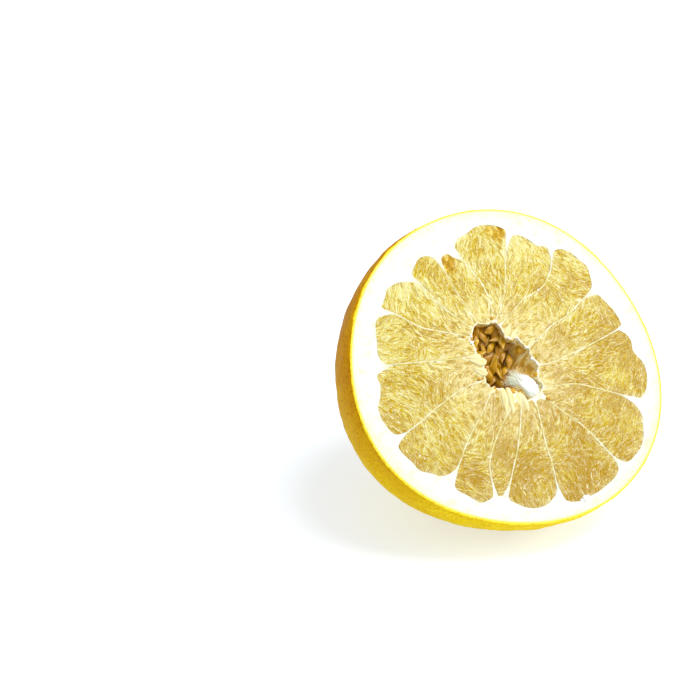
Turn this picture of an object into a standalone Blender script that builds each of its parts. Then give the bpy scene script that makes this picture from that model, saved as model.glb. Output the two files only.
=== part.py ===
"""A cut half of a pomelo, lying on its flank with the cut face leaning back.

The fruit is shaped in the frame of its cut face: s runs across the face, t runs up its
slope and w stands out of it, so the bowl of the peel lies at negative w. place() turns
that frame into the part's own, with +Z up and the origin under the middle of the half.
All lengths are in metres, except the outlines on the cut face, which are in millimetres.
"""
import math
import random

import bmesh
import bpy
from mathutils import Matrix, Vector

MM = 0.001

# peel
RIM_RADIUS = 0.077        # mean radius of the cut face
BOWL_DEPTH = 0.082        # from the cut face to the far end
BOWL_POWER = 1.8          # 2 would be an ellipse, less is more pointed
RIM_LOBES = ((3, 0.0015, -128), (4, 0.0004, 150), (5, 0.0003, -63))  # count, height, degrees
BELLIES = ((0.007, 152, 3), (0.0015, 272, 2))  # height, degrees round the face, narrowness
BELLY_RISE = 0.8          # less swells sooner below the rim
SKIN = 0.0013             # yellow outer layer
SCAR_DEPTH = 0.0022       # dimple at the far end
SCAR_RADIUS = 0.009
AROUND = 48               # facets round the bowl
RINGS = 12                # facets from the rim to the far end
SHARP_EDGE = 40           # degrees; the skin is shaded smooth up to here

# pulp
MEMBRANE = 0.0006         # wall between two segments
GAP = 0.0003              # clearance between touching pieces
PULP_DEPTH = 0.070        # depth at which the segments would meet
PULP_REACH = 0.066        # usual distance of a segment's outer end from the middle
PULP_LEVELS = (0.030, 0.056)
CORE_RADIUS = 0.016       # nearer the middle than this, a segment keeps its width as it goes down
ALONG = 10                # facets along a segment's cut face
ACROSS = (4, 6)           # facets across a narrow and a wide one
NARROW_END = 16           # a segment narrower than this at its outer end is narrow
CURVE_STEPS = 8           # points on an outline's curve for each point given
SAC_RELIEF = 0.0007       # height of the cut juice sacs

# core
CORE_DEPTH = 0.021        # the deepest part of the hollow core
CORE_SHALLOW = 0.009      # its pale right-hand wall
CORE_MOUTH = 0.003        # how far the cutters stand out of the cut face
CORE_STEPS = 2            # points on the mouth's curve for each point given

# how it lies
FACE_TILT = 45            # degrees that the cut face leans back
FLAT_PRESS = 0.003        # how far the flank is pressed in where it lies

# Walls between the segments, clockwise from the top, each from its outer end to the core.
WALLS = (
    ((-8, 59), (-4, 53.5), (-1, 47), (1.2, 41), (2.2, 34), (2, 29), (1, 26)),
    ((22.3, 62.5), (19, 56), (16.5, 50), (14, 43), (11.5, 36.5), (8, 30.5), (4.2, 25.6)),
    ((41.5, 50.5), (40, 46), (37, 40.5), (32, 35), (27, 32.5), (19, 30), (11, 25), (4.8, 21.3)),
    ((55.5, 25.8), (49, 24), (43, 20.5), (36, 17), (29, 15), (23, 11.5), (15.5, 7.7)),
    ((65, 6.5), (58, 5), (50, 3), (42, 1), (33, -0.8), (25, -2.3), (17.5, -2.7)),
    ((58.5, -29.5), (52, -25.3), (46, -22), (40, -19), (33, -15.7), (26, -14.3), (16.8, -13.8)),
    ((39, -57.5), (37.5, -53), (34, -46.5), (30, -39), (25, -32), (20, -26.5), (14.8, -19.8)),
    ((4.3, -65.5), (5.3, -58), (6.3, -50), (6.5, -41), (7, -33), (7.8, -26), (8.2, -20.3)),
    ((-20.5, -58), (-16, -51.5), (-12, -45), (-8.5, -39.5), (-5, -32.5), (-2, -26), (0.6, -19.3)),
    ((-25.5, -56.5), (-25.2, -50), (-24, -43), (-20, -36), (-14, -28.5), (-7, -21.5), (-1, -16)),
    ((-44, -45), (-38.5, -39.5), (-34.5, -34.5), (-30.5, -29.5), (-24.5, -23.5), (-17.5, -16.5),
     (-11.8, -9.6)),
    ((-65, -19.5), (-58, -19.3), (-50, -16), (-42, -12), (-33, -8.3), (-24, -4.9), (-15, -4.1)),
    ((-62, 13.3), (-55, 12.8), (-47, 12), (-38, 10.8), (-29, 9.6), (-21, 8.9), (-15, 8.5)),
    ((-51.5, 38.3), (-46, 36.3), (-40.5, 31.5), (-35, 27), (-28, 24), (-22, 21.5), (-15.8, 19)),
    ((-33, 52), (-29.5, 48), (-26, 42), (-22.5, 36), (-19, 31), (-15.5, 27), (-12, 22.3)),
    ((-16, 57.5), (-15, 51), (-13.7, 45), (-12, 38), (-10.3, 32), (-9, 28), (-7.8, 25)),
)

# Outer end of each segment, from the wall before it to the wall after it.
OUTER_ENDS = (
    ((-6.5, 62), (-4.5, 65.3), (0, 66.7), (6.5, 69.6), (12, 70), (18, 68.3), (21.8, 65)),
    ((24.5, 62), (29, 60.8), (32.5, 58), (34, 55.5), (37.5, 54), (40.3, 51.8)),
    ((42.5, 50.3), (46.5, 50.8), (50.5, 48.5), (53.5, 44.5), (56.8, 40.5), (57, 35), (56, 29)),
    ((57, 25), (59.5, 22), (62.5, 16.5), (64.2, 11), (64, 7.5)),
    ((62.5, 5.5), (65.5, 2.3), (66.8, -2), (65.8, -6.2), (67.3, -9.5), (69.2, -14), (68.2, -20),
     (65, -26.5), (61.5, -28.8)),
    ((57.3, -31), (59, -36), (57.5, -43), (54.5, -50), (49, -54.5), (43.5, -57)),
    ((38.3, -58.5), (36.5, -61.5), (31, -64.5), (24, -67.3), (18, -68.5), (12, -69.2), (7, -67.3)),
    ((4.4, -62), (1, -65.3), (-4.5, -67.5), (-11, -67), (-17, -63.5), (-20.3, -60)),
    ((-21.2, -57.3), (-23.2, -58.2), (-25, -57)),
    ((-26.8, -57), (-30, -58.7), (-34.5, -58.7), (-39, -54.5), (-43, -51), (-43.8, -48)),
    ((-44, -42.6), (-48, -43), (-52, -40.8), (-57.5, -38.3), (-60.5, -33), (-63.5, -28),
     (-64.2, -24.5)),
    ((-64, -19.2), (-66.5, -15.5), (-68.2, -9.5), (-67.8, -4), (-65, 0.5), (-63.7, 5), (-63.7, 9.5)),
    ((-58.5, 14), (-60.3, 18), (-59.8, 22.5), (-58.3, 27), (-57.5, 31.5), (-54.5, 36)),
    ((-51.3, 40), (-48.5, 44.5), (-45.8, 48.5), (-41.5, 50.3), (-37, 50.6)),
    ((-31.8, 53), (-29.5, 56.5), (-26, 59.8), (-22.5, 60.7), (-18.5, 59)),
    ((-15.2, 57), (-13, 59.3), (-10.5, 59.2), (-8.8, 57.5)),
)

# Core end of each segment, from the wall after it back to the wall before it.
CORE_ENDS = (
    ((2.6, 24.6),),
    ((3.3, 22.6),),
    ((11.7, 10.5), (11, 14), (7.2, 14.2), (4.7, 17)),
    ((15, 1.5), (14.4, 4.5)),
    ((15.6, -11.5), (14.4, -8.5), (15, -5.2)),
    ((14, -18), (14.2, -15.8)),
    ((9.2, -19.9), (12, -19)),
    ((2.5, -19), (6, -18.2)),
    ((0.6, -17),),
    ((-8.5, -9.8), (-4, -11.8), (-0.4, -12.6)),
    ((-14, -5.3), (-12.8, -7.5)),
    ((-13, 7.7), (-11.2, 5.3), (-12, 3), (-13.6, 0.8), (-12.6, -1), (-13.6, -3.1)),
    ((-15.3, 16.8), (-13.9, 13.5), (-13.7, 10.8)),
    ((-13, 20.8),),
    ((-9.4, 23.9), (-10.9, 22.4)),
    ((-0.2, 24.4), (-3.5, 23.7), (-6, 24.1)),
)

# Mouth of the hollow core, clockwise from its upper left corner.
CORE_MOUTH_EDGE = (
    (-7.4, 23.3), (-4, 22.1), (-0.5, 22.5), (1.6, 21.9), (3.2, 19.6), (3.6, 16), (6, 13),
    (9.6, 12.6), (10.4, 10), (13.4, 6.8), (13.3, 4.2), (14, 1), (15.9, -2.2), (13.8, -5), (13.3, -8.4),
    (14.6, -12.2), (12.7, -14.6), (8, -16.8), (2.6, -17.4), (1.6, -13.5), (-0.5, -11.2), (-4, -10.6),
    (-8, -8.7), (-11.2, -7.8), (-12.4, -4.8), (-12.4, -2.7), (-11.6, -1), (-12.4, 0.8), (-10.9, 3),
    (-10.2, 5.3), (-11.9, 8), (-12.6, 10.8), (-12.7, 13.6), (-13.6, 16.6), (-11.4, 19.8), (-9.6, 22),
)
CORE_MIDDLE = (0.5, 3.0)
CORE_RINGS = ((1.0, 0.08), (0.93, 0.5), (0.72, 0.85), (0.4, 1.0))  # share of width, of depth
CORE_STEP = (3.0, 3.0)    # a place on the step between the deep side and the pale wall
CORE_SLANT = 0.45         # how far that step leans to the right as it goes up the face
CORE_EASE = 2.2           # width of the step

# Tuft of soft pith that stands up in the hollow: ends on the face, radii, depth.
TUFT_ROOT = (10.0, -15.6)
TUFT_TIP = (0.8, -5.6)
TUFT_RADII = (4.0, 1.9)
TUFT_HEIGHT = -0.0044

# Juice sacs in the hollow: middle and half sizes of their bed, then the rows they lie in.
SAC_BED = (-4.0, 8.5, -0.0098)
SAC_BED_SLOPE = (0.25, 0.3)
SAC_BED_SIZE = (10.0, 15.0, 4.0)
SAC_SEED = 5
SAC_START = (-11.0, -5.0)
SAC_STEP = (4.6, 3.7)
SAC_ROWS = 8
SAC_COLUMNS = 4
SAC_LENGTH = 0.0100
SAC_WIDTH = 0.0035
SAC_JITTER = 0.6          # how far a sac strays from its row
SAC_HEADINGS = (10, 55)   # degrees round the way out of the face
SAC_PITCHES = (0, 25)     # degrees that the thick end rises
SAC_SIZES = (0.85, 1.15)  # share of the usual length and width
SAC_CLEARANCE = 2 * GAP   # between the bunch and the wall of the core

# Unripe seeds: place on the face in millimetres, depth, long half axis, all in the core's wall.
SEEDS = (
    ((11.6, 7.6), 0.0044, 0.0018),
    ((13.6, -6.3), 0.0012, 0.0012),
    ((-1.5, -11.8), 0.0013, 0.0018),
)
SEED_FLATNESS = 0.8

COLOURS = {
    "rind": ((0.87, 0.62, 0.02), 0.42),
    "pith": ((0.90, 0.88, 0.76), 0.75),
    "segment": ((0.74, 0.55, 0.20), 0.38),
    "core_sacs": ((0.42, 0.24, 0.04), 0.35),
    "seed": ((0.60, 0.32, 0.05), 0.5),
}


def clear_scene():
    for old in list(bpy.data.objects):
        bpy.data.objects.remove(old, do_unlink=True)


def make_collection(name):
    collection = bpy.data.collections.new(name)
    bpy.context.scene.collection.children.link(collection)
    return collection


def make_material(kind):
    colour, roughness = COLOURS[kind]
    material = bpy.data.materials.new(kind)
    material.use_nodes = True
    shader = material.node_tree.nodes["Principled BSDF"]
    shader.inputs["Base Color"].default_value = (*colour, 1.0)
    shader.inputs["Roughness"].default_value = roughness
    return material


def make_object(name, bm, collection, material=None):
    mesh = bpy.data.meshes.new(name)
    bm.to_mesh(mesh)
    bm.free()
    made = bpy.data.objects.new(name, mesh)
    collection.objects.link(made)
    if material:
        mesh.materials.append(material)
    return made


def make_cutter(name, bm, collection):
    cutter = make_object(name, bm, collection)
    cutter.hide_render = True
    cutter.display_type = "WIRE"
    return cutter


# ---- peel

def rim_lobes(angle):
    return sum(height * math.cos(count * angle - math.radians(phase))
               for count, height, phase in RIM_LOBES)


def belly(angle, dip):
    """How far the fruit swells beyond an even bowl, most of it on one side."""
    swell = sum(height * ((1 + math.cos(angle - math.radians(middle))) / 2) ** narrowness
                for height, middle, narrowness in BELLIES)
    return swell * max(math.sin(2 * dip), 0.0) ** BELLY_RISE


def bowl_point(angle, dip, inset):
    """A point of the bowl; dip is 0 at the rim and a right angle at the far end."""
    spread = max(math.cos(dip), 0.0) ** (2 / BOWL_POWER)
    drop = math.sin(dip) ** (2 / BOWL_POWER)
    lobes = rim_lobes(angle) * math.cos(dip)
    radius = (RIM_RADIUS - inset + lobes + belly(angle, dip)) * spread
    dimple = SCAR_DEPTH * math.exp(-(radius / SCAR_RADIUS) ** 2)
    height = dimple - (BOWL_DEPTH - inset) * drop
    return Vector((radius * math.cos(angle), radius * math.sin(angle), height))


def face_turn():
    return Matrix.Rotation(math.radians(FACE_TILT), 4, "X")


def place():
    """The matrix from the frame of the cut face to the part's frame."""
    turned = []
    for step in range(AROUND):
        for ring in range(RINGS + 1):
            angle = math.tau * step / AROUND
            dip = math.pi / 2 * ring / RINGS
            turned.append(face_turn() @ bowl_point(angle, dip, 0.0))
    middle_x = (min(p.x for p in turned) + max(p.x for p in turned)) / 2
    middle_y = (min(p.y for p in turned) + max(p.y for p in turned)) / 2
    lowest = min(p.z for p in turned)
    return Matrix.Translation((-middle_x, -middle_y, -lowest - FLAT_PRESS)) @ face_turn()


PLACE = place()


def add_bowl(bm, inset, flip):
    """The bowl's surface, inset from the outside and pressed flat where it lies."""
    sphere = bmesh.ops.create_uvsphere(bm, u_segments=AROUND, v_segments=2 * RINGS, radius=1.0)
    upper = [v for v in sphere["verts"] if v.co.z > 1e-4]
    bmesh.ops.delete(bm, geom=upper, context="VERTS")
    verts = [v for v in sphere["verts"] if v.is_valid]
    for v in verts:
        angle = math.atan2(v.co.y, v.co.x)
        dip = math.asin(min(max(-v.co.z, 0.0), 1.0))
        v.co = PLACE @ bowl_point(angle, dip, inset)
    own_faces = {f for v in verts for f in v.link_faces}
    own_edges = {e for f in own_faces for e in f.edges}
    bmesh.ops.bisect_plane(bm, geom=[*verts, *own_edges, *own_faces], dist=1e-6,
                           plane_co=(0, 0, inset), plane_no=(0, 0, 1))
    for v in bm.verts:
        if v.co.z < inset:
            v.co.z = inset
    if flip:
        bmesh.ops.reverse_faces(bm, faces=bm.faces[:])


def open_edges(bm):
    return [e for e in bm.edges if e.is_boundary]


def make_rind(collection):
    """The yellow skin: an outer and an inner bowl, joined round the rim."""
    bm = bmesh.new()
    add_bowl(bm, SKIN, flip=True)
    inner = bpy.data.meshes.new("rind_inner")
    bm.to_mesh(inner)
    bm.free()
    bm = bmesh.new()
    add_bowl(bm, 0.0, flip=False)
    bm.from_mesh(inner)
    bpy.data.meshes.remove(inner)
    bmesh.ops.bridge_loops(bm, edges=open_edges(bm))
    bmesh.ops.recalc_face_normals(bm, faces=bm.faces[:])
    rind = make_object("rind", bm, collection, make_material("rind"))
    rind.data.shade_smooth()
    rind.data.set_sharp_from_angle(angle=math.radians(SHARP_EDGE))
    return rind


# ---- segments

def closed_curve(points, steps):
    """A smooth closed curve through the points, as (point, outward normal) pairs."""
    count = len(points)
    curve = []
    for i in range(count):
        a, b, c, d = (Vector(points[(i + k) % count]) for k in (-1, 0, 1, 2))
        for step in range(steps):
            t = step / steps
            curve.append(0.5 * (2 * b + (c - a) * t + (2 * a - 5 * b + 4 * c - d) * t ** 2
                                + (3 * b - a - 3 * c + d) * t ** 3))
    ring = []
    for i, point in enumerate(curve):
        along = (curve[(i + 1) % len(curve)] - curve[i - 1]).normalized()
        ring.append((point, Vector((-along.y, along.x))))
    return ring


def even_points(ring, start, end, parts):
    """Points and normals spread evenly along part of a ring, without its last one."""
    stretch = [ring[i % len(ring)] for i in range(start, end + 1)]
    lengths = [0.0]
    for (p, _), (q, _) in zip(stretch, stretch[1:]):
        lengths.append(lengths[-1] + (q - p).length)
    picked = []
    i = 0
    for part in range(parts):
        want = lengths[-1] * part / parts
        while lengths[i + 1] < want:
            i += 1
        share = (want - lengths[i]) / (lengths[i + 1] - lengths[i])
        point = stretch[i][0].lerp(stretch[i + 1][0], share)
        normal = stretch[i][1].lerp(stretch[i + 1][1], share).normalized()
        picked.append((point, normal))
    return picked


def segment_rim(number, across):
    """The rim of a segment, clockwise from its core end: up, outer end, down, core end."""
    before = WALLS[number][:0:-1]
    after = WALLS[(number + 1) % len(WALLS)][1:]
    outer = OUTER_ENDS[number]
    points = [*before, *outer, *after, *CORE_ENDS[number]]
    ring = closed_curve(points, CURVE_STEPS)
    corners = [0, len(before), len(before) + len(outer) - 1,
               len(before) + len(outer) + len(after) - 1, len(points)]
    rim = []
    for start, end, parts in zip(corners, corners[1:], (ALONG, across, ALONG, across)):
        rim += even_points(ring, start * CURVE_STEPS, end * CURVE_STEPS, parts)
    return rim


def sunk(point, level):
    """Where a point of the cut face goes at a level below it, following the bowl inwards."""
    reach = PULP_REACH / MM * (1 - (level / PULP_DEPTH) ** BOWL_POWER) ** (1 / BOWL_POWER)
    core = CORE_RADIUS / MM
    squeeze = (reach - core) / (PULP_REACH / MM - core)
    distance = point.length
    if distance <= core:
        return point.copy()
    return point * ((core + (distance - core) * squeeze) / distance)


def level_rim(rim, level, inset):
    """The rim at a level below the cut face, inset from the middle of the walls."""
    ring = []
    for point, normal in rim:
        flat = (sunk(point, level) - normal * (inset / MM)) * MM
        ring.append(Vector((flat.x, flat.y, -level)))
    return ring


def patch_point(rim, across, i, j):
    """A point inside the four-sided rim: i of ALONG from the core, j of across from the left."""
    u, v = i / ALONG, j / across
    left, right = rim[i], rim[2 * ALONG + across - i]
    core = rim[-j] if j else rim[0]
    outer = rim[ALONG + j]
    corners = (rim[0] * (1 - u) * (1 - v) + rim[ALONG] * u * (1 - v)
               + rim[ALONG + across] * u * v + rim[2 * ALONG + across] * (1 - u) * v)
    return left * (1 - v) + right * v + core * (1 - u) + outer * u - corners


def extrude_ring(bm, edges, place_on_ring):
    """Extrude a ring of edges; each new vertex takes over its place on the ring."""
    new = bmesh.ops.extrude_edge_only(bm, edges=edges)["geom"]
    fresh = {item for item in new if isinstance(item, bmesh.types.BMVert)}
    new_edges = [item for item in new if isinstance(item, bmesh.types.BMEdge)
                 and all(v in fresh for v in item.verts)]
    for v in fresh:
        source = next(e.other_vert(v) for e in v.link_edges
                      if e.other_vert(v) not in fresh and e.other_vert(v) in place_on_ring)
        place_on_ring[v] = place_on_ring[source]
    return new_edges, fresh


def segment_solid(number, across, inset, top, levels):
    """A segment, or the pocket for it: its cut face, then walls that close in as they go down."""
    rim = segment_rim(number, across)
    face_rim = level_rim(rim, 0.0, inset)
    bm = bmesh.new()
    grid = bmesh.ops.create_grid(bm, x_segments=across, y_segments=ALONG, size=1.0)
    for v in grid["verts"]:
        i = round((v.co.y + 1) / 2 * ALONG)
        j = round((v.co.x + 1) / 2 * across)
        v.co = patch_point(face_rim, across, i, j)
        v.co.z = top
    cut_face = bm.faces[:]
    edges = open_edges(bm)
    place_on_rim = {}
    for v in {v for e in edges for v in e.verts}:
        place_on_rim[v] = min(range(len(rim)), key=lambda k: (face_rim[k] - v.co).xy.length)
    for level in levels:
        ring = level_rim(rim, level, inset)
        edges, fresh = extrude_ring(bm, edges, place_on_rim)
        for v in fresh:
            v.co = ring[place_on_rim[v]]
    walls = [f for f in bm.faces if f not in cut_face]
    bmesh.ops.triangulate(bm, faces=walls, quad_method="FIXED")
    bmesh.ops.contextual_create(bm, geom=edges)
    if top == 0.0:
        bmesh.ops.poke(bm, faces=cut_face, offset=SAC_RELIEF, center_mode="MEAN")
    for v in bm.verts:
        v.co = PLACE @ v.co
    bmesh.ops.recalc_face_normals(bm, faces=bm.faces[:])
    return bm


def face_counts():
    """Facets across each segment, by how wide it is at its outer end."""
    counts = []
    for end in OUTER_ENDS:
        width = (Vector(end[0]) - Vector(end[-1])).length
        counts.append(ACROSS[0] if width < NARROW_END else ACROSS[1])
    return counts


def make_segments(collection, cutters):
    middle, bottom = PULP_LEVELS
    made = []
    for number, across in enumerate(face_counts()):
        inset = MEMBRANE / 2
        pocket = segment_solid(number, across, inset, CORE_MOUTH, (0.0, middle, bottom + GAP))
        make_cutter(f"pocket_{number + 1:02d}", pocket, cutters)
        bm = segment_solid(number, across, inset + GAP, 0.0, (middle, bottom))
        made.append(make_object(f"segment_{number + 1:02d}", bm, collection, make_material("segment")))
    return made


# ---- core

def core_depth(s, t):
    """Depth of the hollow core under a point of the cut face, in metres."""
    beyond = s - CORE_STEP[0] - CORE_SLANT * (t - CORE_STEP[1])
    deep_share = 1 / (1 + math.exp(beyond / CORE_EASE))
    return CORE_SHALLOW + (CORE_DEPTH - CORE_SHALLOW) * deep_share


def core_solid(clearance):
    """The space of the hollow core, drawn in on all sides by a clearance."""
    middle = Vector(CORE_MIDDLE)
    ring = [point for point, _ in closed_curve(CORE_MOUTH_EDGE, CORE_STEPS)]
    count = len(ring)
    bm = bmesh.new()
    circle = bmesh.ops.create_circle(bm, segments=count, radius=1.0, cap_ends=False)["verts"]
    order = {v: i for i, v in enumerate(circle)}

    def move(verts, width, depth_share):
        for v in verts:
            out = ring[order[v]] - middle
            spot = middle + out * width
            depth = core_depth(spot.x, spot.y) * depth_share
            spot -= out.normalized() * (clearance / MM)
            v.co = (spot.x * MM, spot.y * MM, clearance - depth)

    for v in circle:
        out = ring[order[v]] - middle
        spot = middle + out - out.normalized() * (clearance / MM)
        v.co = (spot.x * MM, spot.y * MM, CORE_MOUTH)
    edges = bm.edges[:]
    for width, depth_share in CORE_RINGS:
        edges, fresh = extrude_ring(bm, edges, order)
        move(fresh, width, depth_share)
    bottom = bmesh.ops.contextual_create(bm, geom=edges)["faces"]
    centre = bmesh.ops.poke(bm, faces=bottom)["verts"]
    for v in centre:
        v.co = (middle.x * MM, middle.y * MM, clearance - core_depth(*middle))
    top = [e for e in bm.edges if e.is_boundary]
    bmesh.ops.contextual_create(bm, geom=top)
    for v in bm.verts:
        v.co = PLACE @ v.co
    bmesh.ops.recalc_face_normals(bm, faces=bm.faces[:])
    return bm


def sac_bed_height(s, t):
    """Height of the bunch of juice sacs under a point of the cut face, in metres."""
    rise = SAC_BED_SLOPE[0] * (s - SAC_BED[0]) + SAC_BED_SLOPE[1] * (t - SAC_BED[1])
    return SAC_BED[2] + rise * MM


def add_sac(bm, spot, height, heading, pitch, length, width):
    """A juice sac: a teardrop along +X, thick at its outer end, thin at its stalk."""
    sac = bmesh.ops.create_uvsphere(bm, u_segments=6, v_segments=5, radius=1.0)["verts"]
    turn = Matrix.Rotation(heading, 4, "Z") @ Matrix.Rotation(-pitch, 4, "Y")
    centre = Vector((spot.x * MM, spot.y * MM, height))
    for v in sac:
        thick = (0.62 + 0.38 * v.co.z) * width / 2
        shaped = Vector((v.co.z * length / 2, v.co.x * thick, v.co.y * thick))
        v.co = PLACE @ (centre + turn @ shaped)


def make_sac_bed(collection):
    """The soft bed that the roots of the juice sacs run into."""
    bm = bmesh.new()
    bed = bmesh.ops.create_icosphere(bm, subdivisions=2, radius=1.0)["verts"]
    for v in bed:
        s = SAC_BED[0] + SAC_BED_SIZE[0] * v.co.x
        t = SAC_BED[1] + SAC_BED_SIZE[1] * v.co.y
        height = sac_bed_height(s, t) + (v.co.z - 1) * SAC_BED_SIZE[2] * MM
        v.co = PLACE @ Vector((s * MM, t * MM, height))
    return make_object("core_sacs", bm, collection, make_material("core_sacs"))


def make_core_sacs(collection, cutters):
    """The bunch of juice sacs on the left of the hollow, grown together at their roots."""
    rng = random.Random(SAC_SEED)
    union = make_collection("sacs")
    bunch = make_sac_bed(collection)
    for row in range(SAC_ROWS):
        for column in range(SAC_COLUMNS):
            s = SAC_START[0] + SAC_STEP[0] * (column + 0.5 * (row % 2))
            t = SAC_START[1] + SAC_STEP[1] * row
            s += rng.uniform(-SAC_JITTER, SAC_JITTER)
            t += rng.uniform(-SAC_JITTER, SAC_JITTER)
            heading = math.radians(rng.uniform(*SAC_HEADINGS))
            pitch = math.radians(rng.uniform(*SAC_PITCHES))
            length = SAC_LENGTH * rng.uniform(*SAC_SIZES)
            width = SAC_WIDTH * rng.uniform(*SAC_SIZES)
            bm = bmesh.new()
            add_sac(bm, Vector((s, t)), sac_bed_height(s, t), heading, pitch, length, width)
            make_object(f"sac_{row}_{column}", bm, union)
    join = bunch.modifiers.new("join", "BOOLEAN")
    join.operation = "UNION"
    join.operand_type = "COLLECTION"
    join.collection = union
    trim = bunch.modifiers.new("trim", "BOOLEAN")
    trim.operation = "INTERSECT"
    trim_space = make_cutter("core_space", core_solid(SAC_CLEARANCE), cutters)
    trim.object = trim_space
    apply_modifiers(bunch)
    for sac in list(union.objects):
        bpy.data.objects.remove(sac, do_unlink=True)
    bpy.data.collections.remove(union)
    bpy.data.objects.remove(trim_space, do_unlink=True)
    keep_largest(bunch)
    return bunch


def apply_modifiers(target):
    graph = bpy.context.evaluated_depsgraph_get()
    mesh = bpy.data.meshes.new_from_object(target.evaluated_get(graph))
    target.modifiers.clear()
    old = target.data
    target.data = mesh
    bpy.data.meshes.remove(old)
    mesh.name = target.name
    mesh.polygons.foreach_set("material_index", [0] * len(mesh.polygons))


def keep_largest(target):
    """Drop the loose scraps that the trimming leaves."""
    bm = bmesh.new()
    bm.from_mesh(target.data)
    islands = []
    left = set(bm.verts)
    while left:
        island = set()
        todo = [left.pop()]
        while todo:
            v = todo.pop()
            island.add(v)
            for e in v.link_edges:
                other = e.other_vert(v)
                if other in left:
                    left.remove(other)
                    todo.append(other)
        islands.append(island)
    islands.sort(key=len)
    scraps = [v for island in islands[:-1] for v in island]
    bmesh.ops.delete(bm, geom=scraps, context="VERTS")
    bm.to_mesh(target.data)
    bm.free()


def seed_solid(spot, depth, half_length, clearance):
    bm = bmesh.new()
    ball = bmesh.ops.create_uvsphere(bm, u_segments=10, v_segments=6, radius=1.0)["verts"]
    for v in ball:
        long = half_length + clearance
        short = half_length * SEED_FLATNESS + clearance
        v.co = PLACE @ Vector((spot[0] * MM + v.co.z * long, spot[1] * MM + v.co.x * short,
                               v.co.y * short - depth))
    return bm


def make_seeds(collection, cutters):
    for number, (spot, depth, half_length) in enumerate(SEEDS, 1):
        make_cutter(f"seed_bed_{number}", seed_solid(spot, depth, half_length, GAP), cutters)
        make_object(f"seed_{number}", seed_solid(spot, depth, half_length, 0.0), collection,
                    make_material("seed"))


# ---- pith

def make_tuft(cutters):
    """A soft lump, thick at its root in the core's wall and thin at its tip."""
    bm = bmesh.new()
    ball = bmesh.ops.create_uvsphere(bm, u_segments=12, v_segments=8, radius=1.0)["verts"]
    root, tip = Vector(TUFT_ROOT), Vector(TUFT_TIP)
    run = tip - root
    side = Vector((-run.y, run.x)).normalized()
    for v in ball:
        share = (v.co.z + 1) / 2
        radius = TUFT_RADII[0] + (TUFT_RADII[1] - TUFT_RADII[0]) * share
        spot = root + run * share + side * v.co.x * radius
        v.co = PLACE @ Vector((spot.x * MM, spot.y * MM, TUFT_HEIGHT + v.co.y * radius * MM))
    return make_cutter("tuft", bm, cutters)


def make_pith(collection, cutters, lumps):
    """The white layer, the walls between the segments and the wall of the core, in one piece."""
    bm = bmesh.new()
    add_bowl(bm, SKIN + GAP, flip=False)
    bmesh.ops.contextual_create(bm, geom=open_edges(bm))
    bmesh.ops.recalc_face_normals(bm, faces=bm.faces[:])
    pith = make_object("pith", bm, collection, make_material("pith"))
    cut = pith.modifiers.new("pockets", "BOOLEAN")
    cut.operation = "DIFFERENCE"
    cut.operand_type = "COLLECTION"
    cut.collection = cutters
    grow = pith.modifiers.new("tuft", "BOOLEAN")
    grow.operation = "UNION"
    grow.object = make_tuft(lumps)
    grow.solver = "MANIFOLD"
    return pith


def cut_from(target, cutter):
    cut = target.modifiers.new("seed_bed", "BOOLEAN")
    cut.operation = "DIFFERENCE"
    cut.object = cutter


def build():
    clear_scene()
    pomelo = make_collection("pomelo")
    cutters = make_collection("cutters")
    lumps = make_collection("lumps")
    make_rind(pomelo)
    segments = make_segments(pomelo, cutters)
    make_core_sacs(pomelo, cutters)
    make_cutter("core_hollow", core_solid(0.0), cutters)
    make_seeds(pomelo, cutters)
    make_pith(pomelo, cutters, lumps)
    cut_from(segments[9], bpy.data.objects["seed_bed_3"])


build()
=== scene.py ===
import math
import random

import bmesh
import bpy
import numpy as np
from mathutils import Matrix, Vector, noise
from mathutils.bvhtree import BVHTree


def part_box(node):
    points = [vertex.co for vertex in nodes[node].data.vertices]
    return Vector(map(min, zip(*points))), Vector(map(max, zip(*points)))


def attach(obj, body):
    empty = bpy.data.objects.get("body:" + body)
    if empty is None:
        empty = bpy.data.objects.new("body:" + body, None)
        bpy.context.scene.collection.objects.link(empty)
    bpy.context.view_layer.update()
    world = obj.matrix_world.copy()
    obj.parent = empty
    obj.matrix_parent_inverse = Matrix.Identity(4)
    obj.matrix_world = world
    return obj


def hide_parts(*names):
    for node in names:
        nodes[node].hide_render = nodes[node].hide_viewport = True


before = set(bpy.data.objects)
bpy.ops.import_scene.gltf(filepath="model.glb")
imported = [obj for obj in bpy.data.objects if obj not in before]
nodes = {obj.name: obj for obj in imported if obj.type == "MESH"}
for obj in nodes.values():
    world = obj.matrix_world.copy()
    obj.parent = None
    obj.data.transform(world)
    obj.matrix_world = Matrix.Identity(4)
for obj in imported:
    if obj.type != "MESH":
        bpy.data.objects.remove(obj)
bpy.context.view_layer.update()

mm = 0.001
cutFace = {"lean": 45}                       # degrees that the cut face leans back


# the cut face's own frame, in millimetres: s across it, t up its slope, w out of it
def facePlace():
    turn = Matrix.Rotation(math.radians(cutFace["lean"]), 4, "X")
    points = np.array([v.co for v in nodes["rind"].data.vertices]) @ np.array(turn.to_3x3())
    rim = points[points[:, 2] > points[:, 2].max() - 2e-6]
    middle = np.unique(np.round(rim, 6), axis=0).mean(axis=0)
    return Matrix.Translation(turn @ Vector(middle)) @ turn @ Matrix.Scale(mm, 4)


place = facePlace()
worldRows = np.array(place)


def toWorld(points):
    return points @ worldRows[:3, :3].T + worldRows[:3, 3]


# small tools

def srgb(code):
    parts = [int(code[i:i + 2], 16) / 255 for i in (1, 3, 5)]
    linear = [p / 12.92 if p <= 0.04045 else ((p + 0.055) / 1.055) ** 2.4 for p in parts]
    return (*linear, 1.0)


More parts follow.
